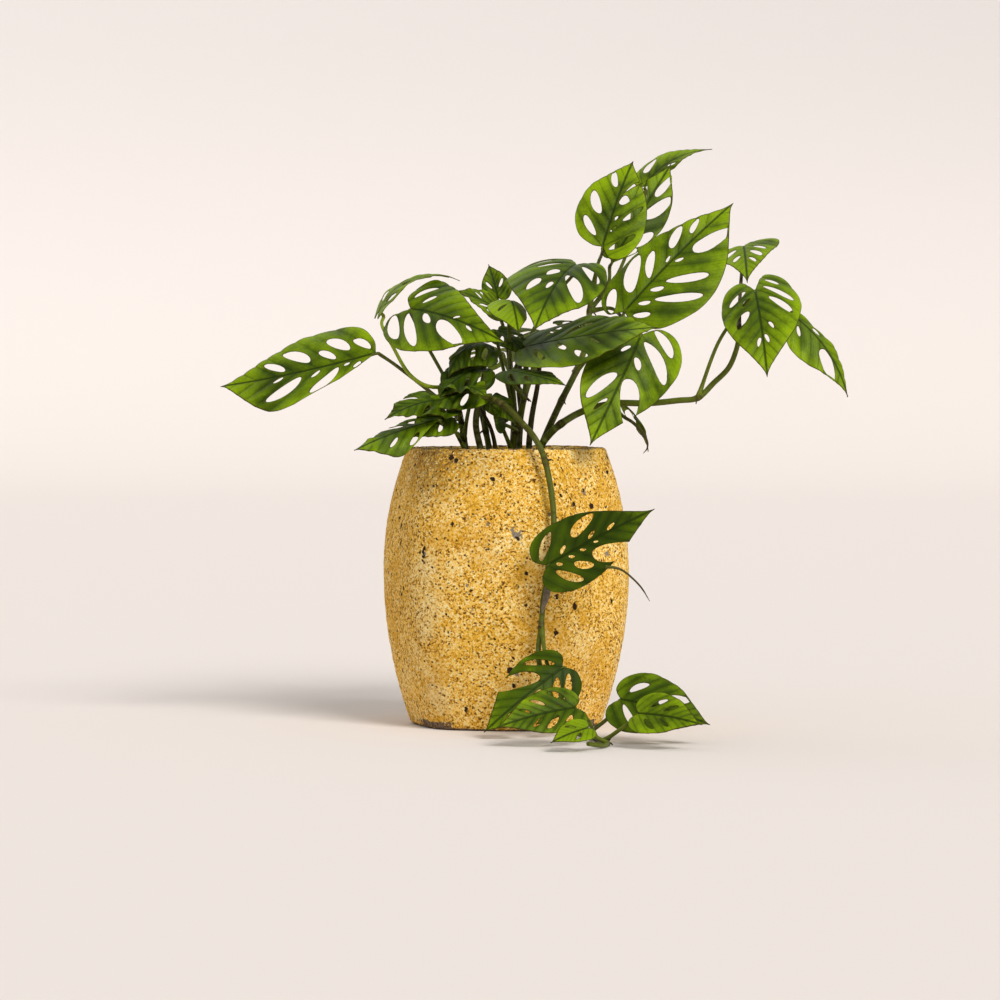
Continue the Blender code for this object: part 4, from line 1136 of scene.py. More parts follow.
@dataclass
class Blade:
    """A leaf's blade: its flat outline and holes, how it bends, and the thin quilted sheet made from them.

    The sheet is cut in a flat plan whose second axis is the vein that passes through a point, so that its
    rows of faces follow the veins. Heights of the relief are shares of the blade's length.
    """

    leaf: Leaf
    seed: int
    outline_steps: int = 6
    hole_points: int = 20
    widest_hole: float = 0.94
    hole_taper: Pair = (0.8, 0.4)
    margin_steps: int = 4
    veins: int = 8
    rows_per_vein: int = 6
    fewest_rows: int = 2
    usual_length: float = 70 * MM
    wander: float = 0.022
    wander_waves: float = 2.6
    wander_stretch: float = 1.6
    steady_foot: float = 0.15
    column: float = 2.0 * MM
    cut_weld: float = 0.02 * MM
    rim: float = 0.6 * MM
    margin: float = 6 * MM
    thickness: float = 0.5 * MM
    rim_thinning: float = 0.5
    quilt: float = 0.0072
    quilt_bulge: float = 0.7
    quilt_level: float = 0.6
    quilt_start: float = 5 * MM
    ripple: float = 0.011
    ripples: float = 2.3
    most_rippled: float = 2
    crumple: float = 0.015
    crumple_waves: float = 3.0
    folds: float = 0.030
    fold_waves: float = 2.4
    fold_start: float = 0.4
    # How deep the relief lies where its painted valley shade is full
    valley_floor: float = 0.012
    rib_columns: tuple = (0.6 * MM, 1.3 * MM)
    groove: float = 0.35 * MM
    groove_width: float = 0.8 * MM
    crease: float = 1.5 * MM
    flat_scale: float = 10

    def __post_init__(self) -> None:
        """Works out the blade's own frame."""
        base, tip = Vector(self.leaf.base) * MM, Vector(self.leaf.tip) * MM
        self.arch = math.radians(self.leaf.arch)
        self.bow = math.radians(self.leaf.bow) or LEAST_BOW
        self.length = (tip - base).length * self.arch / (2 * math.sin(self.arch / 2))
        along = (tip - base).normalized()
        up = Vector(self.leaf.face)
        up = (up - along * up.dot(along)).normalized()
        across = along.cross(up)
        self.matrix = Matrix.Translation(base) @ Matrix((across, along, up)).transposed().to_4x4()
        draws = random.Random(self.seed)
        self.phases = (draws.random(), draws.random())

    def axes(self, share: float) -> tuple[Vector, Vector, Vector]:
        """The ways to the right, ahead and up at this share of the midrib, in the blade's own frame."""
        slope, turn = self.arch * (0.5 - share), self.bow * (0.5 - share)
        level = Vector((math.cos(turn), -math.sin(turn) * math.cos(slope), -math.sin(turn) * math.sin(slope)))
        ahead = Vector((math.sin(turn), math.cos(turn) * math.cos(slope), math.cos(turn) * math.sin(slope)))
        return level, ahead, level.cross(ahead)

    def on_midrib(self, share: float) -> Vector:
        """The midrib's point at this share of its length, in the blade's own frame."""
        slope, turn = self.arch * (0.5 - share), self.bow * (0.5 - share)
        aside = (math.cos(turn) - math.cos(self.bow / 2)) / self.bow
        run = (math.sin(self.arch / 2) - math.sin(slope)) / self.arch
        rise = (math.cos(slope) - math.cos(self.arch / 2)) / self.arch
        return Vector((aside, run, rise)) * self.length

    def surface(self, x: float, y: float) -> tuple[Vector, Vector]:
        """Where a point of the flat blade goes, and the upper side's normal there.

        Args:
            x: How far right of the midrib it lies.
            y: How far ahead of the stalk.

        Returns:
            The place and the normal, in the part's frame.
        """
        side, sign = (1, 1) if x > 0 else (0, -1)
        width = self.leaf.widths[side] * MM
        share = (y + self.leaf.lean * x) / self.length
        level, _, above = self.axes(share)
        fold = math.radians(self.leaf.fold[side])
        curl = math.radians(self.leaf.cup[side]) * abs(x) / width
        chord = abs(x) * math.sin(curl / 2) / (curl / 2) if curl else abs(x)
        roll = Matrix.Rotation(math.radians(self.leaf.twist) * share, 2)
        slope = (fold + curl) * min(1, abs(x) / self.crease)
        out = roll @ Vector((sign * math.cos(fold + curl / 2), math.sin(fold + curl / 2))) * chord
        up = roll @ Vector((-sign * math.sin(slope), math.cos(slope)))
        place = self.matrix @ (self.on_midrib(share) + level * out.x + above * out.y)
        return place, self.matrix.to_3x3() @ (level * up.x + above * up.y)

    def half_outline(self, side: int, steps: int) -> Loop:
        """One side's outline, from the notch to the tip."""
        width = self.leaf.widths[side] * MM * (1 if side else -1)
        lobe = self.leaf.lobes[side]
        points = []
        for x, y in HALF_OUTLINE:
            if x:
                share = (y + LOBE_REACH) / (1 + LOBE_REACH)
                y = share ** self.leaf.shoulders[side] * (1 + LOBE_REACH) - LOBE_REACH
            if y < 0:
                y *= max(lobe, 0)
            y += (1 - min(lobe, 1)) * WEDGE * x * (1 - y) ** 2
            points.append((x * width, y * self.length, 0))
        return [(p.x, p.y) for p in smooth_curve(points, steps)]

    def vein_of(self, x: float, y: float) -> float:
        """The place on the midrib, as a share of the length, of the vein that passes through this point."""
        x, y = abs(x) / self.length, y / self.length
        return (y - VEIN_LEAN * x - VEIN_SWEEP * x * x) / (1 + VEIN_FAN * x)

    def on_vein(self, vein: float, x: float) -> float:
        """How far along the blade the vein is at this distance from the midrib."""
        x = abs(x) / self.length
        return self.length * (vein + x * (VEIN_LEAN + VEIN_FAN * vein) + VEIN_SWEEP * x * x)

    def margin_reach(self, vein: float, side: int) -> float:
        """How far from the midrib the vein meets the margin."""
        edge = [(self.vein_of(x, y), abs(x)) for x, y in self.half_outline(side, self.margin_steps)]
        for (v0, x0), (v1, x1) in reversed(list(zip(edge, edge[1:]))):
            if v0 <= vein and x0 > 0:
                return x0 + (x1 - x0) * (vein - v0) / (v1 - v0)
        return min(place for place in edge if place[1] > self.leaf.widths[side] * MM / 2)[1]

    def hole(self, spec: tuple, side: int) -> Loop:
        """The outline of a hole: a lens that lies along a vein line, rounder at its outer end."""
        vein, inner, outer, width = spec
        limit = self.margin_reach(vein, side)
        points = []
        for step in range(self.hole_points):
            angle = 2 * math.pi * step / self.hole_points * (-1 if side else 1)
            share = (1 - math.cos(angle)) / 2
            reach = limit * (inner + (outer - inner) * share)
            offset = width / 2 * math.sin(angle) * (self.hole_taper[0] + self.hole_taper[1] * share)
            if outer < 1:
                reach = min(reach, self.margin_reach(vein + offset, side) * self.widest_hole)
            points.append(((reach if side else -reach), self.on_vein(vein + offset, reach)))
        return points

    def loops(self) -> list[Loop]:
        """The outline, torn where a hole reaches past it, and then the holes that are whole."""
        left, right = (self.half_outline(side, self.outline_steps) for side in (0, 1))
        outline = right + left[-2:0:-1]
        whole = []
        for side, specs in enumerate((self.leaf.left, self.leaf.right)):
            for spec in specs:
                if spec[2] > 1:
                    outline = torn(outline, self.hole(spec, side))
                else:
                    whole.append(self.hole(spec, side))
        return [outline, *whole]

    def wandered(self, x: float, vein: float) -> float:
        """The vein's share again, shifted a little so that veins are neither even nor straight."""
        place = Vector((x / self.length, vein * self.wander_stretch, self.seed)) * self.wander_waves
        return vein + noise.noise(place) * self.wander * smooth_step(vein, 0.0, self.steady_foot)

    def relief(self, x: float, vein: float) -> float:
        """How far the sheet lies above its smooth form: quilted between veins, rippled, and creased."""
        side = 1 if x > 0 else 0
        reach = abs(x) / (self.leaf.widths[side] * MM)
        wave = math.sin(math.pi * self.veins * self.wandered(x, vein))
        quilt = abs(wave) ** self.quilt_bulge - self.quilt_level
        quilt *= smooth_step(abs(x), 0, self.quilt_start) * self.quilt
        ripple = math.sin(2 * math.pi * (self.ripples * vein + self.phases[side]))
        ripple *= reach**2 * (1 - vein**4) * self.ripple * min(self.leaf.crumpled, self.most_rippled)
        place = Vector((x / self.length, vein, self.seed)) * self.crumple_waves
        crumple = noise.noise(place) * min(1, reach * 2) * self.crumple
        folds = noise.noise(place * self.fold_waves) * (self.leaf.crumpled - 1) * self.folds
        folds *= smooth_step(reach, 0, self.fold_start)
        return (quilt + ripple + crumple + folds) * self.length

    def groove_depth(self, share: float) -> float:
        """How deep the groove over the midrib is at this share of its length."""
        return self.groove * (1 - min(1, max(0, share))) ** 0.5

    def sheet(self) -> bmesh.types.BMesh:
        """The flat plan, filled and cut into rows along the veins and columns beside the midrib."""
        bm = bmesh.new()
        rim = bm.verts.layers.float.new("rim")
        margin = bm.verts.layers.float.new("margin")
        bm.verts.layers.float.new("youth")
        bm.verts.layers.float.new("valley")
        edges = []
        plans = [[(x, self.vein_of(x, y) * self.length, 0) for x, y in loop] for loop in self.loops()]
        for plan in plans:
            corners = [bm.verts.new(place) for place in plan]
            edges += [bm.edges.new(pair) for pair in zip(corners, corners[1:] + corners[:1])]
        bmesh.ops.triangle_fill(bm, use_beauty=True, use_dissolve=False, edges=edges, normal=(0, 0, 1))
        inset = {"use_boundary": True, "use_even_offset": False, "thickness": self.rim}
        bmesh.ops.inset_region(bm, faces=bm.faces[:], **inset)
        for vert in bm.verts:
            vert[rim] = 1.0 if vert.is_boundary else 0.0
        detail = min(1.0, self.length / self.usual_length)
        row_count = max(self.fewest_rows, round(self.rows_per_vein * detail))
        row = self.length / (self.veins * row_count)
        widest = max(self.leaf.widths) * MM
        columns = [k * self.column for k in range(int(-widest / self.column), int(widest / self.column) + 1)]
        columns += [side * rib for rib in self.rib_columns for side in (-1, 1)]
        rows = [k * row for k in range(int(-self.length / row), int(self.length / row) + 1)]
        cuts = [((x, 0, 0), (1, 0, 0)) for x in sorted(columns)] + [((0, y, 0), (0, 1, 0)) for y in rows]
        for place, normal in cuts:
            whole = bm.verts[:] + bm.edges[:] + bm.faces[:]
            bmesh.ops.bisect_plane(bm, geom=whole, dist=self.cut_weld, plane_co=place, plane_no=normal)
        outline = search_tree(plans[0])
        for vert in bm.verts:
            vert[margin] = hump(outline.find(vert.co)[2], self.margin)
        return bm

    def build(self, finishes: Finishes) -> bpy.types.Object:
        """Thickens the flat sheet, bends it to its place and dresses it."""
        bm = self.sheet()
        twins = bmesh.ops.extrude_face_region(bm, geom=bm.faces[:])["geom"]
        raised = [part for part in twins if isinstance(part, bmesh.types.BMVert)]
        bmesh.ops.translate(bm, verts=raised, vec=(0, 0, 1))
        rim, youth = bm.verts.layers.float["rim"], bm.verts.layers.float["youth"]
        valley = bm.verts.layers.float["valley"]
        flat = bm.loops.layers.uv.new("blade")
        for face in bm.faces:
            face.material_index = 0 if any(vert.co.z > 0.5 for vert in face.verts) else 1
            for corner in face.loops:
                x, vein = corner.vert.co.x, corner.vert.co.y / self.length
                corner[flat].uv = (x * self.flat_scale, self.wandered(x, vein))
        for vert in bm.verts:
            x, vein, upper = vert.co.x, vert.co.y / self.length, vert.co.z > 0.5
            place, normal = self.surface(x, self.on_vein(vein, x))
            half = self.thickness / 2 * (1 - self.rim_thinning * vert[rim])
            relief = self.relief(x, vein)
            # How far down in a valley of the relief the sheet lies: the leaf finish paints shade there and
            # light on the crests
            vert[valley] = smooth_step(-relief / self.length, -self.valley_floor, self.valley_floor)
            lift = relief + (half if upper else -half)
            lift -= self.groove_depth(vein) * hump(x, self.groove_width)
            vert[youth] = self.leaf.youth
            vert.co = place + normal * lift
        node = self.leaf.name if self.leaf in LEAVES else None
        return published(bm, f"blade_of_{self.leaf.name}", finishes.leaf, node)


# The vines


@dataclass
class Tube:
    """A round stem along a path. Each point has its radius and how deep a scar crosses it there."""

    path: Sequence[Vector]
    radii: Sequence[float]
    youth: Pair
    scars: Sequence[float]
    sides: int = 12
    streak: float = 0.04

    def frames(self) -> list[Matrix]:
        """A frame at each point, turned to the path without twisting round it, and scaled to its radius."""
        ways = [(b - a).normalized() for a, b in zip(self.path, self.path[1:])]
        ways = [ways[0]] + [(a + b).normalized() for a, b in zip(ways, ways[1:])] + [ways[-1]]
        turn = ways[0].to_track_quat("Z", "Y")
        found = []
        for before, way, place, radius in zip([ways[0]] + ways, ways, self.path, self.radii):
            turn = before.rotation_difference(way) @ turn
            scale = Matrix.Diagonal((radius, radius, radius, 1))
            found.append(Matrix.Translation(place) @ turn.to_matrix().to_4x4() @ scale)
        return found

    def add_to(self, bm: bmesh.types.BMesh) -> None:
        """Extrudes the tube from a circle, ring by ring, and writes its attributes."""
        grain = bm.verts.layers.float_vector["grain"]
        youth, scar = bm.verts.layers.float["youth"], bm.verts.layers.float["scar"]
        ring = bmesh.ops.create_circle(bm, cap_ends=True, segments=self.sides, radius=1)["verts"]
        cap = ring[0].link_faces[0]
        place_of = Matrix.Identity(4)
        travelled = 0.0
        for index, frame_here in enumerate(self.frames()):
            if index:
                grown = bmesh.ops.extrude_face_region(bm, geom=[cap])["geom"]
                ring = [part for part in grown if isinstance(part, bmesh.types.BMVert)]
                cap = next(part for part in grown if isinstance(part, bmesh.types.BMFace))
                travelled += (self.path[index] - self.path[index - 1]).length
            bmesh.ops.transform(bm, matrix=frame_here @ place_of.inverted(), verts=ring)
            place_of = frame_here
            share = index / (len(self.path) - 1)
            back = frame_here.inverted()
            for vert in ring:
                local = back @ vert.co
                vert[grain] = (local.x, local.y, travelled / self.streak)
                vert[youth] = self.youth[0] + (self.youth[1] - self.youth[0]) * share
                vert[scar] = self.scars[index]
                vert.co.z = max(vert.co.z, FLOOR_GAP)


def swept(tubes: Sequence[Tube]) -> bmesh.types.BMesh:
    """All these tubes in one mesh."""
    bm = bmesh.new()
    bm.verts.layers.float_vector.new("grain")
    bm.verts.layers.float.new("youth")
    bm.verts.layers.float.new("scar")
    for tube in tubes:
        tube.add_to(bm)
    return bm


@dataclass
class Wisp:
    """A thin thing along a few points, in millimetres: a torn lobe's strand, a dry sheath or a bare stalk."""

    name: str
    points: tuple
    radii: tuple
    slot: Slot = Slot.STEM
    dry: bool = False
    steps: int = 6
    sides: int = 8
    youth: Pair = (0.3, 0.0)
    least_radius: float = 0.1 * MM

    def build(self, finishes: Finishes) -> bpy.types.Object:
        """Sweeps it, its radius eased from point to point."""
        path = smooth_curve([Vector(p) * MM for p in self.points], self.steps)
        spread = smooth_curve([(radius * MM, 0, 0) for radius in self.radii], self.steps)
        radii = [max(point.x, self.least_radius) for point in spread]
        tube = Tube(path, radii, self.youth, [0.0] * len(path), sides=self.sides)
        finish = finishes.papery if self.dry else finishes.stem
        return published(swept([tube]), self.name, [finish])


@dataclass
class Stems:
    """One vine: its stem with swollen nodes, its stalks, the ribs under its blades and its root nubs."""

    vine: Vine
    blades: Sequence[Blade]
    seed: int
    stem_steps: int = 10
    stem_sides: int = 14
    stalk_steps: int = 8
    stalk_sides: int = 10
    stalk_radius: float = 1.5 * MM
    stalk_end_radius: float = 1.1 * MM
    stalk_neck: float = 4 * MM
    stalk_lean: float = math.radians(30)
    blade_gap: float = 0.65 * MM
    swelling: float = 0.20
    node_length: float = 2.4 * MM
    scar_place: float = 0.8
    scar_width: float = 0.35
    sheath_swelling: float = 0.55
    sheath_length: float = 7 * MM
    joint_swelling: float = 0.16
    joint_scar: float = 0.45
    joint_length: float = 3.5 * MM
    stalk_younger: float = 0.15
    stalk_greening: float = 0.25
    rib_places: tuple = (0.05, 0.12, 0.22, 0.34, 0.48, 0.62, 0.76, 0.88)
    rib_share: float = 0.012
    rib_taper: float = 0.80
    rib_sink: float = 0.55
    nubs_per_node: int = 2
    nub_radius: float = 0.75 * MM
    nub_taper: float = 0.6
    nub_lengths: Pair = (3.5 * MM, 6.5 * MM)
    nub_bend: float = 0.6
    nub_droop: float = 0.3
    nub_steps: int = 4
    nub_sides: int = 8
    nub_scar: float = 0.5
    lying: float = 20 * MM
    least_height: float = 0.9 * MM

    def nodes(self) -> list[int]:
        """Which of the vine's points are nodes."""
        return sorted({blade.leaf.node for blade in self.blades} | set(self.vine.bare_nodes))

    def route(self) -> list[Vector]:
        """The stem's points, with the straight length that stands in the mix."""
        above = [Vector(p) * MM for p in self.vine.points]
        standing = [Vector((above[0].x, above[0].y, height)) for height in (STEM_FOOT, STEM_COLLAR)]
        return standing + above

    def stalk_path(self, blade: Blade) -> list[Vector]:
        """The stalk's points: from inside the stem, through its neck to just under the blade."""
        gap = self.blade_gap
        reach = (gap + self.stalk_end_radius * math.sin(self.stalk_lean)) / math.cos(self.stalk_lean)
        _, ahead, above = blade.axes(0)
        lean = ahead * math.sin(self.stalk_lean) + above * math.cos(self.stalk_lean)
        back = blade.matrix.to_3x3() @ -lean
        base, root = Vector(blade.leaf.base) * MM, Vector(self.vine.points[blade.leaf.node]) * MM
        end = base + back * reach
        passed = [Vector(p) * MM for p in blade.leaf.via]
        return [root, *passed, end + back * self.stalk_neck, end]

    def rib_radius(self, blade: Blade, share: float) -> float:
        """The rib's radius at this share of the blade's length."""
        return min(self.stalk_end_radius, blade.length * self.rib_share) * (1 - self.rib_taper * share)

    def rib_path(self, blade: Blade) -> list[Vector]:
        """The rib's points, just under the blade's midrib."""
        found = []
        for share in self.rib_places:
            place, normal = blade.surface(0, share * blade.length)
            sunk = blade.relief(0, share) - blade.groove_depth(share) - blade.thickness / 2
            found.append(place + normal * (sunk - self.rib_radius(blade, share) * self.rib_sink))
        return found

    def stem_tube(self) -> Tube:
        """The stem, swollen and scarred at its nodes."""
        path = smooth_curve(self.route(), self.stem_steps)
        standing = len(self.route()) - len(self.vine.points)
        places = [path[(node + standing) * self.stem_steps] for node in self.nodes()]
        thick, thin = self.vine.radii
        radii, scars = [], []
        for index, point in enumerate(path):
            radius = (thick + (thin - thick) * index / (len(path) - 1)) * MM
            near = min((point - place).length for place in places)
            radii.append(radius * (1 + self.swelling * hump(near, self.node_length)))
            off_scar = near - self.node_length * self.scar_place
            scars.append(hump(off_scar, self.node_length * self.scar_width))
        return Tube(path, radii, self.vine.youth, scars, sides=self.stem_sides)

    def stalk_tube(self, blade: Blade) -> Tube:
        """A stalk with its sheath and its joint, running on as the rib under its blade."""
        path = smooth_curve(self.stalk_path(blade) + self.rib_path(blade), self.stalk_steps)
        spans = len(self.stalk_path(blade)) - 1
        stalk_end = spans * self.stalk_steps
        lengths = [0.0]
        for before, after in zip(path, path[1:]):
            lengths.append(lengths[-1] + (after - before).length)
        joint = lengths[stalk_end] - self.stalk_neck
        radii, scars = [], []
        for index, far in enumerate(lengths):
            if index <= stalk_end:
                share = index / stalk_end
                radius = self.stalk_radius + (self.stalk_end_radius - self.stalk_radius) * share
                radius *= 1 + self.sheath_swelling * hump(far, self.sheath_length)
            else:
                share = (far - lengths[stalk_end]) / blade.length
                radius = min(self.rib_radius(blade, share), radii[stalk_end])
            by_joint = hump(far - joint, self.joint_length)
            radii.append(radius * (1 + self.joint_swelling * by_joint))
            scars.append(self.joint_scar * by_joint)
        youth = blade.leaf.stalk_youth
        if youth is None:
            youth = 0.5 * sum(self.vine.youth) + self.stalk_younger
        return Tube(path, radii, (youth, youth + self.stalk_greening), scars, sides=self.stalk_sides)

    def nubs(self) -> list[Tube]:
        """Short aerial root nubs at the nodes."""
        draws = random.Random(self.seed)
        found = []
        for node in self.nodes():
            place = Vector(self.vine.points[node]) * MM
            ahead = (Vector(self.vine.points[node]) - Vector(self.vine.points[node - 1])).normalized()
            for _ in range(self.nubs_per_node):
                way = Vector([draws.uniform(-1, 1) for _ in range(3)]).cross(ahead).normalized()
                way.z = abs(way.z) if place.z < self.lying else way.z
                length = draws.uniform(*self.nub_lengths)
                droop = Vector((0, 0, -length * self.nub_droop))
                path = [place, place + way * length * self.nub_bend, place + way * length + droop]
                path = smooth_curve(path, self.nub_steps)
                if min(point.z for point in path) < self.least_height:
                    continue
                shares = [i / (len(path) - 1) for i in range(len(path))]
                radii = [self.nub_radius * (1 - self.nub_taper * share**2) for share in shares]
                scars = [self.nub_scar] * len(path)
                found.append(Tube(path, radii, (0.0, 0.0), scars, sides=self.nub_sides))
        return found

    def build(self, finishes: Finishes) -> bpy.types.Object:
        """Sweeps all the tubes of this vine in one piece."""
        tubes = [self.stem_tube()] + [self.stalk_tube(blade) for blade in self.blades] + self.nubs()
        return published(
            swept(tubes), f"stems_of_{self.vine.name}", [finishes.stem], self.vine.name
        )


# The pot and its mix


def pot_radius(height: float) -> float:
    """The pot's radius at a ridge: one parabola up to the belly and another from there to the rim."""
    if height < BELLY_HEIGHT:
        end, reach = FOOT_RADIUS, BELLY_HEIGHT
    else:
        end, reach = RIM_RADIUS, POT_HEIGHT - BELLY_HEIGHT
    return BELLY_RADIUS - (BELLY_RADIUS - end) * ((height - BELLY_HEIGHT) / reach) ** 2


def side_factor(angle: float) -> float:
    """How far the wall lies in at this angle: 1 on a ridge, and least in the middle of a flat side."""
    return 1 - FLAT_SIDE_DEPTH * (1 - math.cos(POT_SIDES * (angle - FIRST_RIDGE))) / 2


def turned(profile: Sequence[Pair], steps: int) -> bmesh.types.BMesh:
    """A (radius, height) profile spun once round Z and pressed to the pot's six-sided plan."""
    bm = spun(profile, steps)
    for vert in bm.verts:
        factor = side_factor(math.atan2(vert.co.y, vert.co.x))
        vert.co.x *= factor
        vert.co.y *= factor
    return bm


def row_heights(low: float, high: float, pitch: float) -> list[float]:
    """Evenly spaced heights from low to high, both ends among them."""
    count = max(1, round((high - low) / pitch))
    return [low + (high - low) * i / count for i in range(count + 1)]


class Mark(NamedTuple):
    """A pit or a chip in the pot's wall, in millimetres, and its bearing in degrees from the front to +X."""

    bearing: float
    height: float
    radius: float
    depth: float


@dataclass
class StonewarePot:
    """The pot: a thick barrel with an uneven, grainy wall that is pitted and chipped, and pale at its ridges
    with wear and a painted highlight.

    unevenness pairs waves a metre with their heights, and each of bare_feet is a bearing and a half width in
    degrees, and a height. The pits are drawn in millimetres. A span is where a mark fades in: a value of
    noise, a height, or a share of the mark's own size.
    """

    steps: int = 380
    row: float = 1.45 * MM
    inner_row: float = 9 * MM
    lip_points: int = 9
    foot_bevel: float = 0.3
    inner_side: float = 0.9
    unevenness: tuple = ((16, 0.55 * MM), (240, 0.36 * MM), (620, 0.20 * MM))
    sink: float = 0.22 * MM
    proudest: float = 0.5 * MM
    smooth_foot: float = 2.0 * MM
    mark_reach: float = 1.6
    mark_spread: float = 0.75
    raggedness: float = 0.7
    ragged_waves: float = 420
    pits: int = 230
    pit_heights: Pair = (6, 200)
    pit_radius: Pair = (0.7, 1.7)
    pit_sizes: tuple = (0.7, 0.8, 1.0, 1.3)
    pit_depths: Pair = (0.35, 0.9)
    # The pale band along the ridges: partly wear and partly a painted highlight
    ridge_band_width: float = 13 * MM
    ridge_patch_waves: float = 34
    wear_and_highlight_span: Pair = (-0.25, 0.45)
    rubbed: float = 0.45
    rubbed_waves: float = 22
    rubbed_span: Pair = (0.2, 0.6)
    foot_span: Pair = (0.5 * MM, 2.2 * MM)
    bare_side_span: Pair = (0.7, 1.2)
    bare_top_span: Pair = (0.6, 1.1)
    crest_span: Pair = (POT_HEIGHT - 1.6 * MM, POT_HEIGHT - 0.4 * MM)
    crest_bare: float = 0.62
    chips: tuple = (
        Mark(5, 142.5, 4.2, 0.9),
        Mark(3, 147, 2.6, 0.6),
        Mark(46, 172, 2.8, 0.9),
        Mark(-9, 150, 2.0, 0.6),
        Mark(21, 157.5, 2.6, 0.6),
        Mark(-41, 128.5, 2.4, 0.8),
        Mark(-41, 122, 2.0, 0.8),
        Mark(58, 127.5, 3.0, 0.7),
        Mark(5, 106, 2.6, 0.5),
        Mark(4, 44.5, 3.6, 1.8),
        Mark(-19, 106, 1.8, 0.5),
        Mark(112, 150, 3.4, 0.9),
        Mark(150, 70, 4.0, 1.0),
        Mark(196, 130, 3.0, 0.8),
        Mark(235, 90, 3.6, 0.9),
        Mark(268, 160, 2.8, 0.8),
    )
    # Where the wall is painted brown: partly a browning of the glaze and partly painted shadow, most under
    # the lip on the left, below the foliage
    brown_side: float = -42
    brown_spread: float = 34
    brown_heights: Pair = (0.160, 0.200)
    brown_drift: float = 12 * MM
    brown_waves: float = 30
    brown_low: float = 0.12
    deep_pits: tuple = (
        Mark(-41.0, 132.5, 1.8, 1.0),
        Mark(-41.6, 129.5, 1.9, 1.1),
        Mark(-41.2, 126.2, 1.7, 1.0),
        Mark(-41.8, 123.5, 1.5, 0.8),
        Mark(2.6, 45, 3.0, 1.8),
        Mark(5.2, 45.8, 2.4, 1.5),
        Mark(4.0, 34, 1.8, 1.0),
        Mark(45.5, 173.5, 2.0, 1.2),
        Mark(5.4, 140, 1.7, 1.0),
    )
    bare_feet: tuple = ((-50, 17, 7 * MM), (54, 15, 7 * MM), (128, 12, 6 * MM), (222, 16, 6 * MM))

    def profile(self) -> list[Pair]:
        """The section, from the middle of the floor, up the inside, over the lip and down to the foot."""
        floor = [(0, POT_FLOOR), (pot_radius(POT_FLOOR) - POT_WALL - CORNER_INSET, POT_FLOOR)]
        lip_height = POT_HEIGHT - LIP_ROUND
        inner_heights = row_heights(INSIDE_FROM, lip_height - MM, self.inner_row)
        inside = [(pot_radius(z) - POT_WALL, z) for z in inner_heights]
        lip_middle = pot_radius(lip_height) - POT_WALL / 2
        turns = [math.pi * (1 - i / (self.lip_points - 1)) for i in range(self.lip_points)]
        lip = [
            (lip_middle + POT_WALL / 2 * math.cos(a), lip_height + LIP_ROUND * math.sin(a)) for a in turns
        ]
        heights = row_heights(FOOT_ROUND, lip_height - self.row, self.row)
        outside = [(pot_radius(z), z) for z in reversed(heights)]
        bevel = FOOT_ROUND * self.foot_bevel
        foot = [(FOOT_RADIUS - bevel, bevel), (FOOT_RADIUS - FOOT_ROUND, 0), (0, 0)]
        return floor + inside + lip + outside + foot

    def place_of(self, mark: Mark) -> Vector:
        """Where a mark lies on the wall."""
        angle, height = math.radians(mark.bearing - 90), mark.height * MM
        radius = pot_radius(height) * side_factor(angle)
        return Vector((radius * math.cos(angle), radius * math.sin(angle), height))

    def marks(self) -> list[Mark]:
        """The small pits, scattered by a seeded draw."""
        draws = random.Random(SEED)
        return [
            Mark(
                draws.uniform(0, 360),
                draws.uniform(*self.pit_heights),
                draws.uniform(*self.pit_radius) * draws.choice(self.pit_sizes),
                draws.uniform(*self.pit_depths),
            )
            for _ in range(self.pits)
        ]

    def worn(self, place: Vector) -> float:
        """How pale the wall is here: along the ridges in patches, partly wear and partly a painted highlight,
        and in rubbed patches of wear all over.
        """
        bearing = math.atan2(place.y, place.x) - FIRST_RIDGE
        sector = 2 * math.pi / POT_SIDES
        off_ridge = abs((bearing + sector / 2) % sector - sector / 2) * BELLY_RADIUS
        patch = smooth_step(noise.noise(place * self.ridge_patch_waves), *self.wear_and_highlight_span)
        rubbed = smooth_step(noise.noise(place * self.rubbed_waves + place), *self.rubbed_span)
        return hump(off_ridge, self.ridge_band_width) * patch + self.rubbed * rubbed

    def bareness(self, place: Vector) -> float:
        """How far the glaze has missed the wall here: at patches of the foot and on the lip's crest."""
        bearing = math.degrees(math.atan2(place.y, place.x)) + 90
        found = 1 - smooth_step(place.z, *self.foot_span)
        for middle, half, height in self.bare_feet:
            off = abs((bearing - middle + 180) % 360 - 180) / half
            low = 1 - smooth_step(place.z / height, *self.bare_top_span)
            found = max(found, (1 - smooth_step(off, *self.bare_side_span)) * low)
        return max(found, smooth_step(place.z, *self.crest_span) * self.crest_bare)

    def browned_and_shaded(self, place: Vector) -> float:
        """How browned and shaded the wall is painted here: under the lip on the left, below the foliage, and
        thinly all over that side. It is partly a browning of the glaze and partly painted shadow.
        """
        bearing = (math.degrees(math.atan2(place.y, place.x)) + 270) % 360 - 180
        left = hump(bearing - self.brown_side, self.brown_spread)
        drift = noise.noise(place * self.brown_waves) * self.brown_drift
        high = smooth_step(place.z + drift, *self.brown_heights)
        return left * (self.brown_low + (1 - self.brown_low) * high)

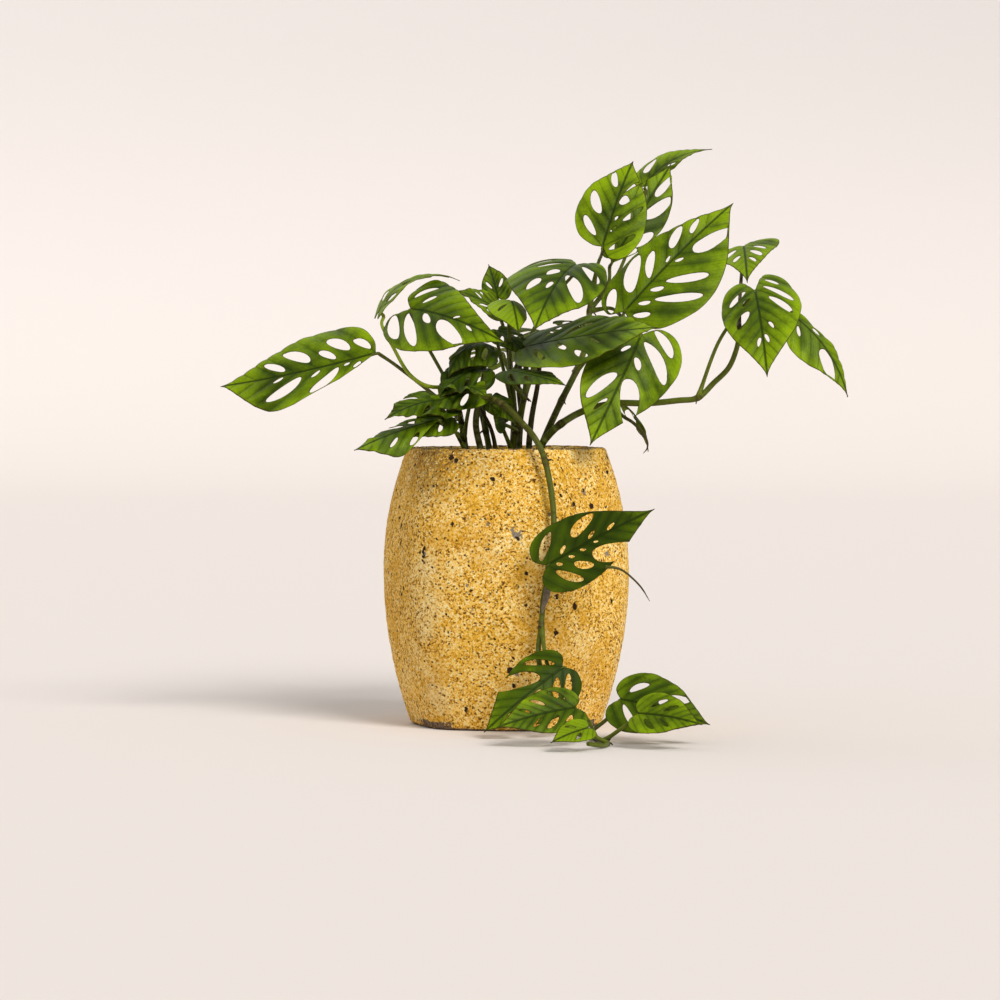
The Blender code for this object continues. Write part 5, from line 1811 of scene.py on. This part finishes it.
    def build(self, finishes: Finishes) -> bpy.types.Object:
        """Spins the pot, roughens its wall and writes where it is pitted, chipped, pale with wear, bare and
        browned. The pale ridges are partly a painted highlight, the browning partly painted shadow, and the
        bare inside painted shade.
        """
        bm = turned(self.profile(), self.steps)
        names = ("pit", "chip", "worn", "bare", "soot")
        layers = {name: bm.verts.layers.float.new(name) for name in names}
        bm.verts.ensure_lookup_table()
        places = [vert.co.copy() for vert in bm.verts]
        tree = search_tree(places)
        sunk = [0.0] * len(places)
        for layer, marks in (("pit", [*self.marks(), *self.deep_pits]), ("chip", self.chips)):
            for mark in marks:
                size = mark.radius * MM
                for _, index, far in tree.find_range(self.place_of(mark), size * self.mark_reach):
                    far *= 1 + noise.noise(places[index] * self.ragged_waves) * self.raggedness
                    depth = hump(far, size * self.mark_spread)
                    vert = bm.verts[index]
                    vert[layers[layer]] = max(vert[layers[layer]], depth)
                    sunk[index] = max(sunk[index], depth * mark.depth * MM)
        for index, vert in enumerate(bm.verts):
            place = places[index]
            wall = math.hypot(place.x, place.y) / side_factor(math.atan2(place.y, place.x))
            # The inside of the wall takes the dark colour of bare clay all over: painted shade inside the pot
            if wall < pot_radius(place.z) - POT_WALL * self.inner_side:
                vert[layers["bare"]] = 1.0
                continue
            vert[layers["soot"]] = self.browned_and_shaded(place)
            vert[layers["worn"]] = self.worn(place)
            vert[layers["bare"]] = self.bareness(place)
            rough = sum(noise.noise(place * waves) * height for waves, height in self.unevenness)
            rough = (rough - self.sink - sunk[index]) * smooth_step(place.z, 0, self.smooth_foot)
            out = Vector((place.x, place.y, 0)).normalized()
            up = smooth_step(place.z, POT_HEIGHT - LIP_ROUND, POT_HEIGHT)
            vert.co = place + (out * (1 - up) + Vector((0, 0, up))) * min(rough, self.proudest)
        return published(bm, "stoneware_pot", [finishes.stoneware], "pot")


@dataclass
class PottingMix:
    """The bed of mix, with loose bits of bark and perlite on it."""

    steps: int = 120
    clearance: float = 0.6 * MM
    ring: float = 2.5 * MM
    lumps: float = 1.3 * MM
    lump_waves: float = 160
    lump_octaves: int = 3
    lump_level: float = 0.5
    wall_heights: tuple = (0.170, 0.140, 0.100, 0.060, INSIDE_FROM)
    bark_bits: int = 420
    bark_sizes: Pair = (1.6 * MM, 4.2 * MM)
    bark_flatness: float = 0.45
    perlite_bits: int = 90
    perlite_sizes: Pair = (0.8 * MM, 1.9 * MM)
    perlite_flatness: float = 0.85
    jitter: float = 0.25
    tilt: float = 0.5
    narrowness: Pair = (0.45, 0.9)
    bedding: float = 0.3
    reach: float = 0.052

    def profile(self) -> list[Pair]:
        """The section, from the middle of the top, out to the wall and down to the floor."""
        inner = POT_WALL + self.clearance
        edge = pot_radius(MIX_HEIGHT) - inner
        top = [(r, self.height_at(r / edge)) for r in row_heights(0, edge, self.ring)]
        wall = [(pot_radius(z) - inner, z) for z in self.wall_heights]
        lowest = POT_FLOOR + self.clearance
        return top + wall + [(pot_radius(POT_FLOOR) - inner - CORNER_INSET, lowest), (0, lowest)]

    def height_at(self, share: float) -> float:
        """The bed's height at this share of its radius."""
        return MIX_HEIGHT + MIX_CROWN * (1 - share**4)

    def bed(self, finishes: Finishes) -> bpy.types.Object:
        """The bed itself, with a lumpy top."""
        bm = turned(self.profile(), self.steps)
        for vert in bm.verts:
            if vert.co.z > MIX_HEIGHT - MM:
                lump = noise.fractal(vert.co * self.lump_waves, 1.0, 2.0, self.lump_octaves)
                vert.co.z += (lump - self.lump_level) * self.lumps
        return published(bm, "bed_of_mix", [finishes.mix], "potting_mix")

    def bits(self, name: str, count: int, size: Pair, flatness: float, finish: bpy.types.Material) -> None:
        """Loose bits, each a jittered ball of a few faces.

        Args:
            name: The piece's name.
            count: How many bits there are.
            size: The least and greatest radius.
            flatness: How flat each one is.
            finish: Their material.
        """
        draws = random.Random(f"{SEED} {name}")
        bm = bmesh.new()
        for _ in range(count):
            radius = draws.uniform(*size)
            ball = bmesh.ops.create_icosphere(bm, subdivisions=1, radius=radius)["verts"]
            for vert in ball:
                vert.co += Vector([draws.uniform(-self.jitter, self.jitter) * radius for _ in range(3)])
            away, bearing = self.reach * math.sqrt(draws.random()), draws.uniform(0, 2 * math.pi)
            height = self.height_at(away / self.reach) + radius * flatness * self.bedding
            spin = Quaternion([draws.gauss(0, 1) for _ in range(4)]).normalized()
            tilt = Quaternion((1, 0, 0), draws.uniform(-self.tilt, self.tilt))
            tilt = tilt @ Quaternion((0, 0, 1), bearing)
            where = Matrix.Translation((away * math.cos(bearing), away * math.sin(bearing), height))
            flat = Matrix.Diagonal((1, draws.uniform(*self.narrowness), flatness, 1))
            turn = tilt.to_matrix().to_4x4() @ flat @ spin.to_matrix().to_4x4()
            bmesh.ops.transform(bm, matrix=where @ turn, verts=ball)
        published(bm, name, [finish])

    def build(self, finishes: Finishes) -> None:
        """Makes the bed and what lies on it."""
        self.bed(finishes)
        bark = (self.bark_bits, self.bark_sizes, self.bark_flatness, finishes.bark)
        perlite = (self.perlite_bits, self.perlite_sizes, self.perlite_flatness, finishes.perlite)
        self.bits("bark_on_mix", *bark)
        self.bits("perlite_on_mix", *perlite)


# The studio


@dataclass
class Studio:
    """A plain pale floor that turns up into a wall all round, soft lights, and the camera."""

    floor_colour: Colour = (0.812, 0.755, 0.722)
    wall_colour: Colour = (0.668, 0.630, 0.618)
    floor_radius: float = 8.0
    wall_height: float = 3.2
    fillet: float = 2.6
    fillet_steps: int = 16
    floor_steps: int = 96
    shade_height: float = 1.2
    room_colour: Colour = (1.0, 0.99, 0.975)
    room_light: float = 0.50
    eye: tuple = (-0.0044, -3.16, 0.268)
    pitch: float = 1.87
    lens: float = 154.8
    sensor: float = 36.0
    sight: Pair = (0.05, 50)

    def floor(self) -> None:
        """The floor and wall, one bowl spun from its section."""
        graph = Graph("studio_paper")
        height = graph.add("ShaderNodeSeparateXYZ", {}, {0: graph.place()}, "Z")
        paper = graph.mixed(height.step(0.0, self.shade_height), self.floor_colour, self.wall_colour)
        finish = graph.finished({"Base Color": paper, "Roughness": 0.9, "Specular IOR Level": 0.1})
        turns = [math.pi / 2 * i / self.fillet_steps for i in range(self.fillet_steps + 1)]
        level = self.floor_radius - self.fillet
        curve = [(level + self.fillet * math.sin(a), self.fillet * (1 - math.cos(a))) for a in turns]
        section = [(0.0, 0.0), *curve, (self.floor_radius, self.wall_height)]
        bm = spun(section, self.floor_steps)
        bmesh.ops.recalc_face_normals(bm, faces=bm.faces[:])
        if bm.faces[0].normal.z < 0:
            bmesh.ops.reverse_faces(bm, faces=bm.faces[:])
        bowl = meshed(bm, "studio_floor", [finish])

    def light(self, name: str, place: tuple, spread: float, power: float, colour: Colour) -> None:
        """A far, soft light that shines from this side on the whole studio."""
        lamp = bpy.data.lights.new(name, "SUN")
        lamp.angle, lamp.energy, lamp.color = math.radians(spread), power, colour
        made = added(bpy.data.objects.new(name, lamp))
        made.location = place
        made.rotation_euler = (-Vector(place)).to_track_quat("-Z", "Y").to_euler()

    def lights(self) -> None:
        """A key from the upper right of the front, a weak light from behind, and the room's own light."""
        self.light("key", (1.5, -2.5, 2.4), spread=24, power=2.45, colour=(1.0, 0.98, 0.95))
        self.light("back", (-1.6, 2.2, 2.0), spread=40, power=0.35, colour=(1.0, 0.99, 0.97))
        world = bpy.data.worlds.new("room")
        world.use_nodes = True
        backdrop = world.node_tree.nodes["Background"]
        backdrop.inputs["Color"].default_value = (*self.room_colour, 1)
        backdrop.inputs["Strength"].default_value = self.room_light
        bpy.context.scene.world = world

    def camera(self) -> None:
        """The camera, at the photograph's height, distance and angle."""
        lens = bpy.data.cameras.new("camera")
        lens.lens, lens.sensor_width = self.lens, self.sensor
        lens.clip_start, lens.clip_end = self.sight
        made = added(bpy.data.objects.new("camera", lens))
        made.location = self.eye
        made.rotation_euler = (math.radians(90 - self.pitch), 0, 0)
        bpy.context.scene.camera = made

    def build(self) -> None:
        """Sets the whole studio up."""
        self.floor()
        self.lights()
        self.camera()
        bpy.context.scene.view_settings.view_transform = "Standard"


# The strands that torn lobes end in, the trailing vine's dry sheath, and bare stalks among the vines
WISPS = (
    Wisp(
        "strand_of_trail_leaf_top",
        ((70, -130.3, 122), (76, -132, 121.5), (82, -133.5, 119.5), (89, -135, 114), (95.5, -136, 107),
         (101, -136, 98)),
        (1.4, 1.0, 0.8, 0.7, 0.6, 0.2),
        Slot.LEAF,
    ),
    Wisp(
        "strand_of_right_leaf_narrow",
        ((81, 6, 233), (86, 5, 226.5), (93, 4, 222), (99, 4, 216), (103.5, 4, 209), (104, 4, 203),
         (101, 4, 199)),
        (0.8, 1.3, 1.2, 1.2, 0.9, 0.6, 0.2),
        Slot.LEAF,
    ),
    Wisp(
        "dry_sheath",
        ((29.5, -99, 112), (29.8, -101.5, 107), (28.5, -102, 99), (26.5, -101.2, 92), (25.6, -100, 87)),
        (0.6, 2.2, 2.3, 1.5, 0.4),
        dry=True,
    ),
    Wisp(
        "spare_stalk_right",
        ((17, 6, 190), (17, 6, 206), (19, 3, 226), (23, -2, 248), (25, -8, 268)),
        (2.3, 2.3, 2.1, 1.8, 1.6),
        sides=12,
    ),
    Wisp(
        "spare_stalk_middle",
        ((10, 0, 190), (10, 0, 206), (11, -3, 228), (9, -4, 250), (12, -2, 274)),
        (2.0, 2.0, 1.9, 1.7, 1.5),
        sides=12,
    ),
    Wisp(
        "spare_stalk_left",
        ((-8, -22, 190), (-8, -22, 205), (-12, -24, 220), (-20, -28, 234)),
        (1.6, 1.6, 1.4, 1.2),
        sides=12,
    ),
)


def main() -> None:
    """Builds every piece of the part, dresses it and sets up the studio."""
    logging.basicConfig(level=logging.INFO, format="%(name)s: %(message)s")
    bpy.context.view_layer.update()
    finishes = Finishes.made()
    StonewarePot().build(finishes)
    PottingMix().build(finishes)
    blades = [Blade(leaf, SEED + index) for index, leaf in enumerate(LEAVES + CLUMP_LEAVES)]
    for blade in blades:
        blade.build(finishes)
    for index, vine in enumerate(VINES):
        carried = [blade for blade in blades if blade.leaf.vine == vine.name]
        Stems(vine, carried, SEED + index).build(finishes)
    for wisp in WISPS:
        wisp.build(finishes)
    Studio().build()


if __name__ == "__main__":
    main()
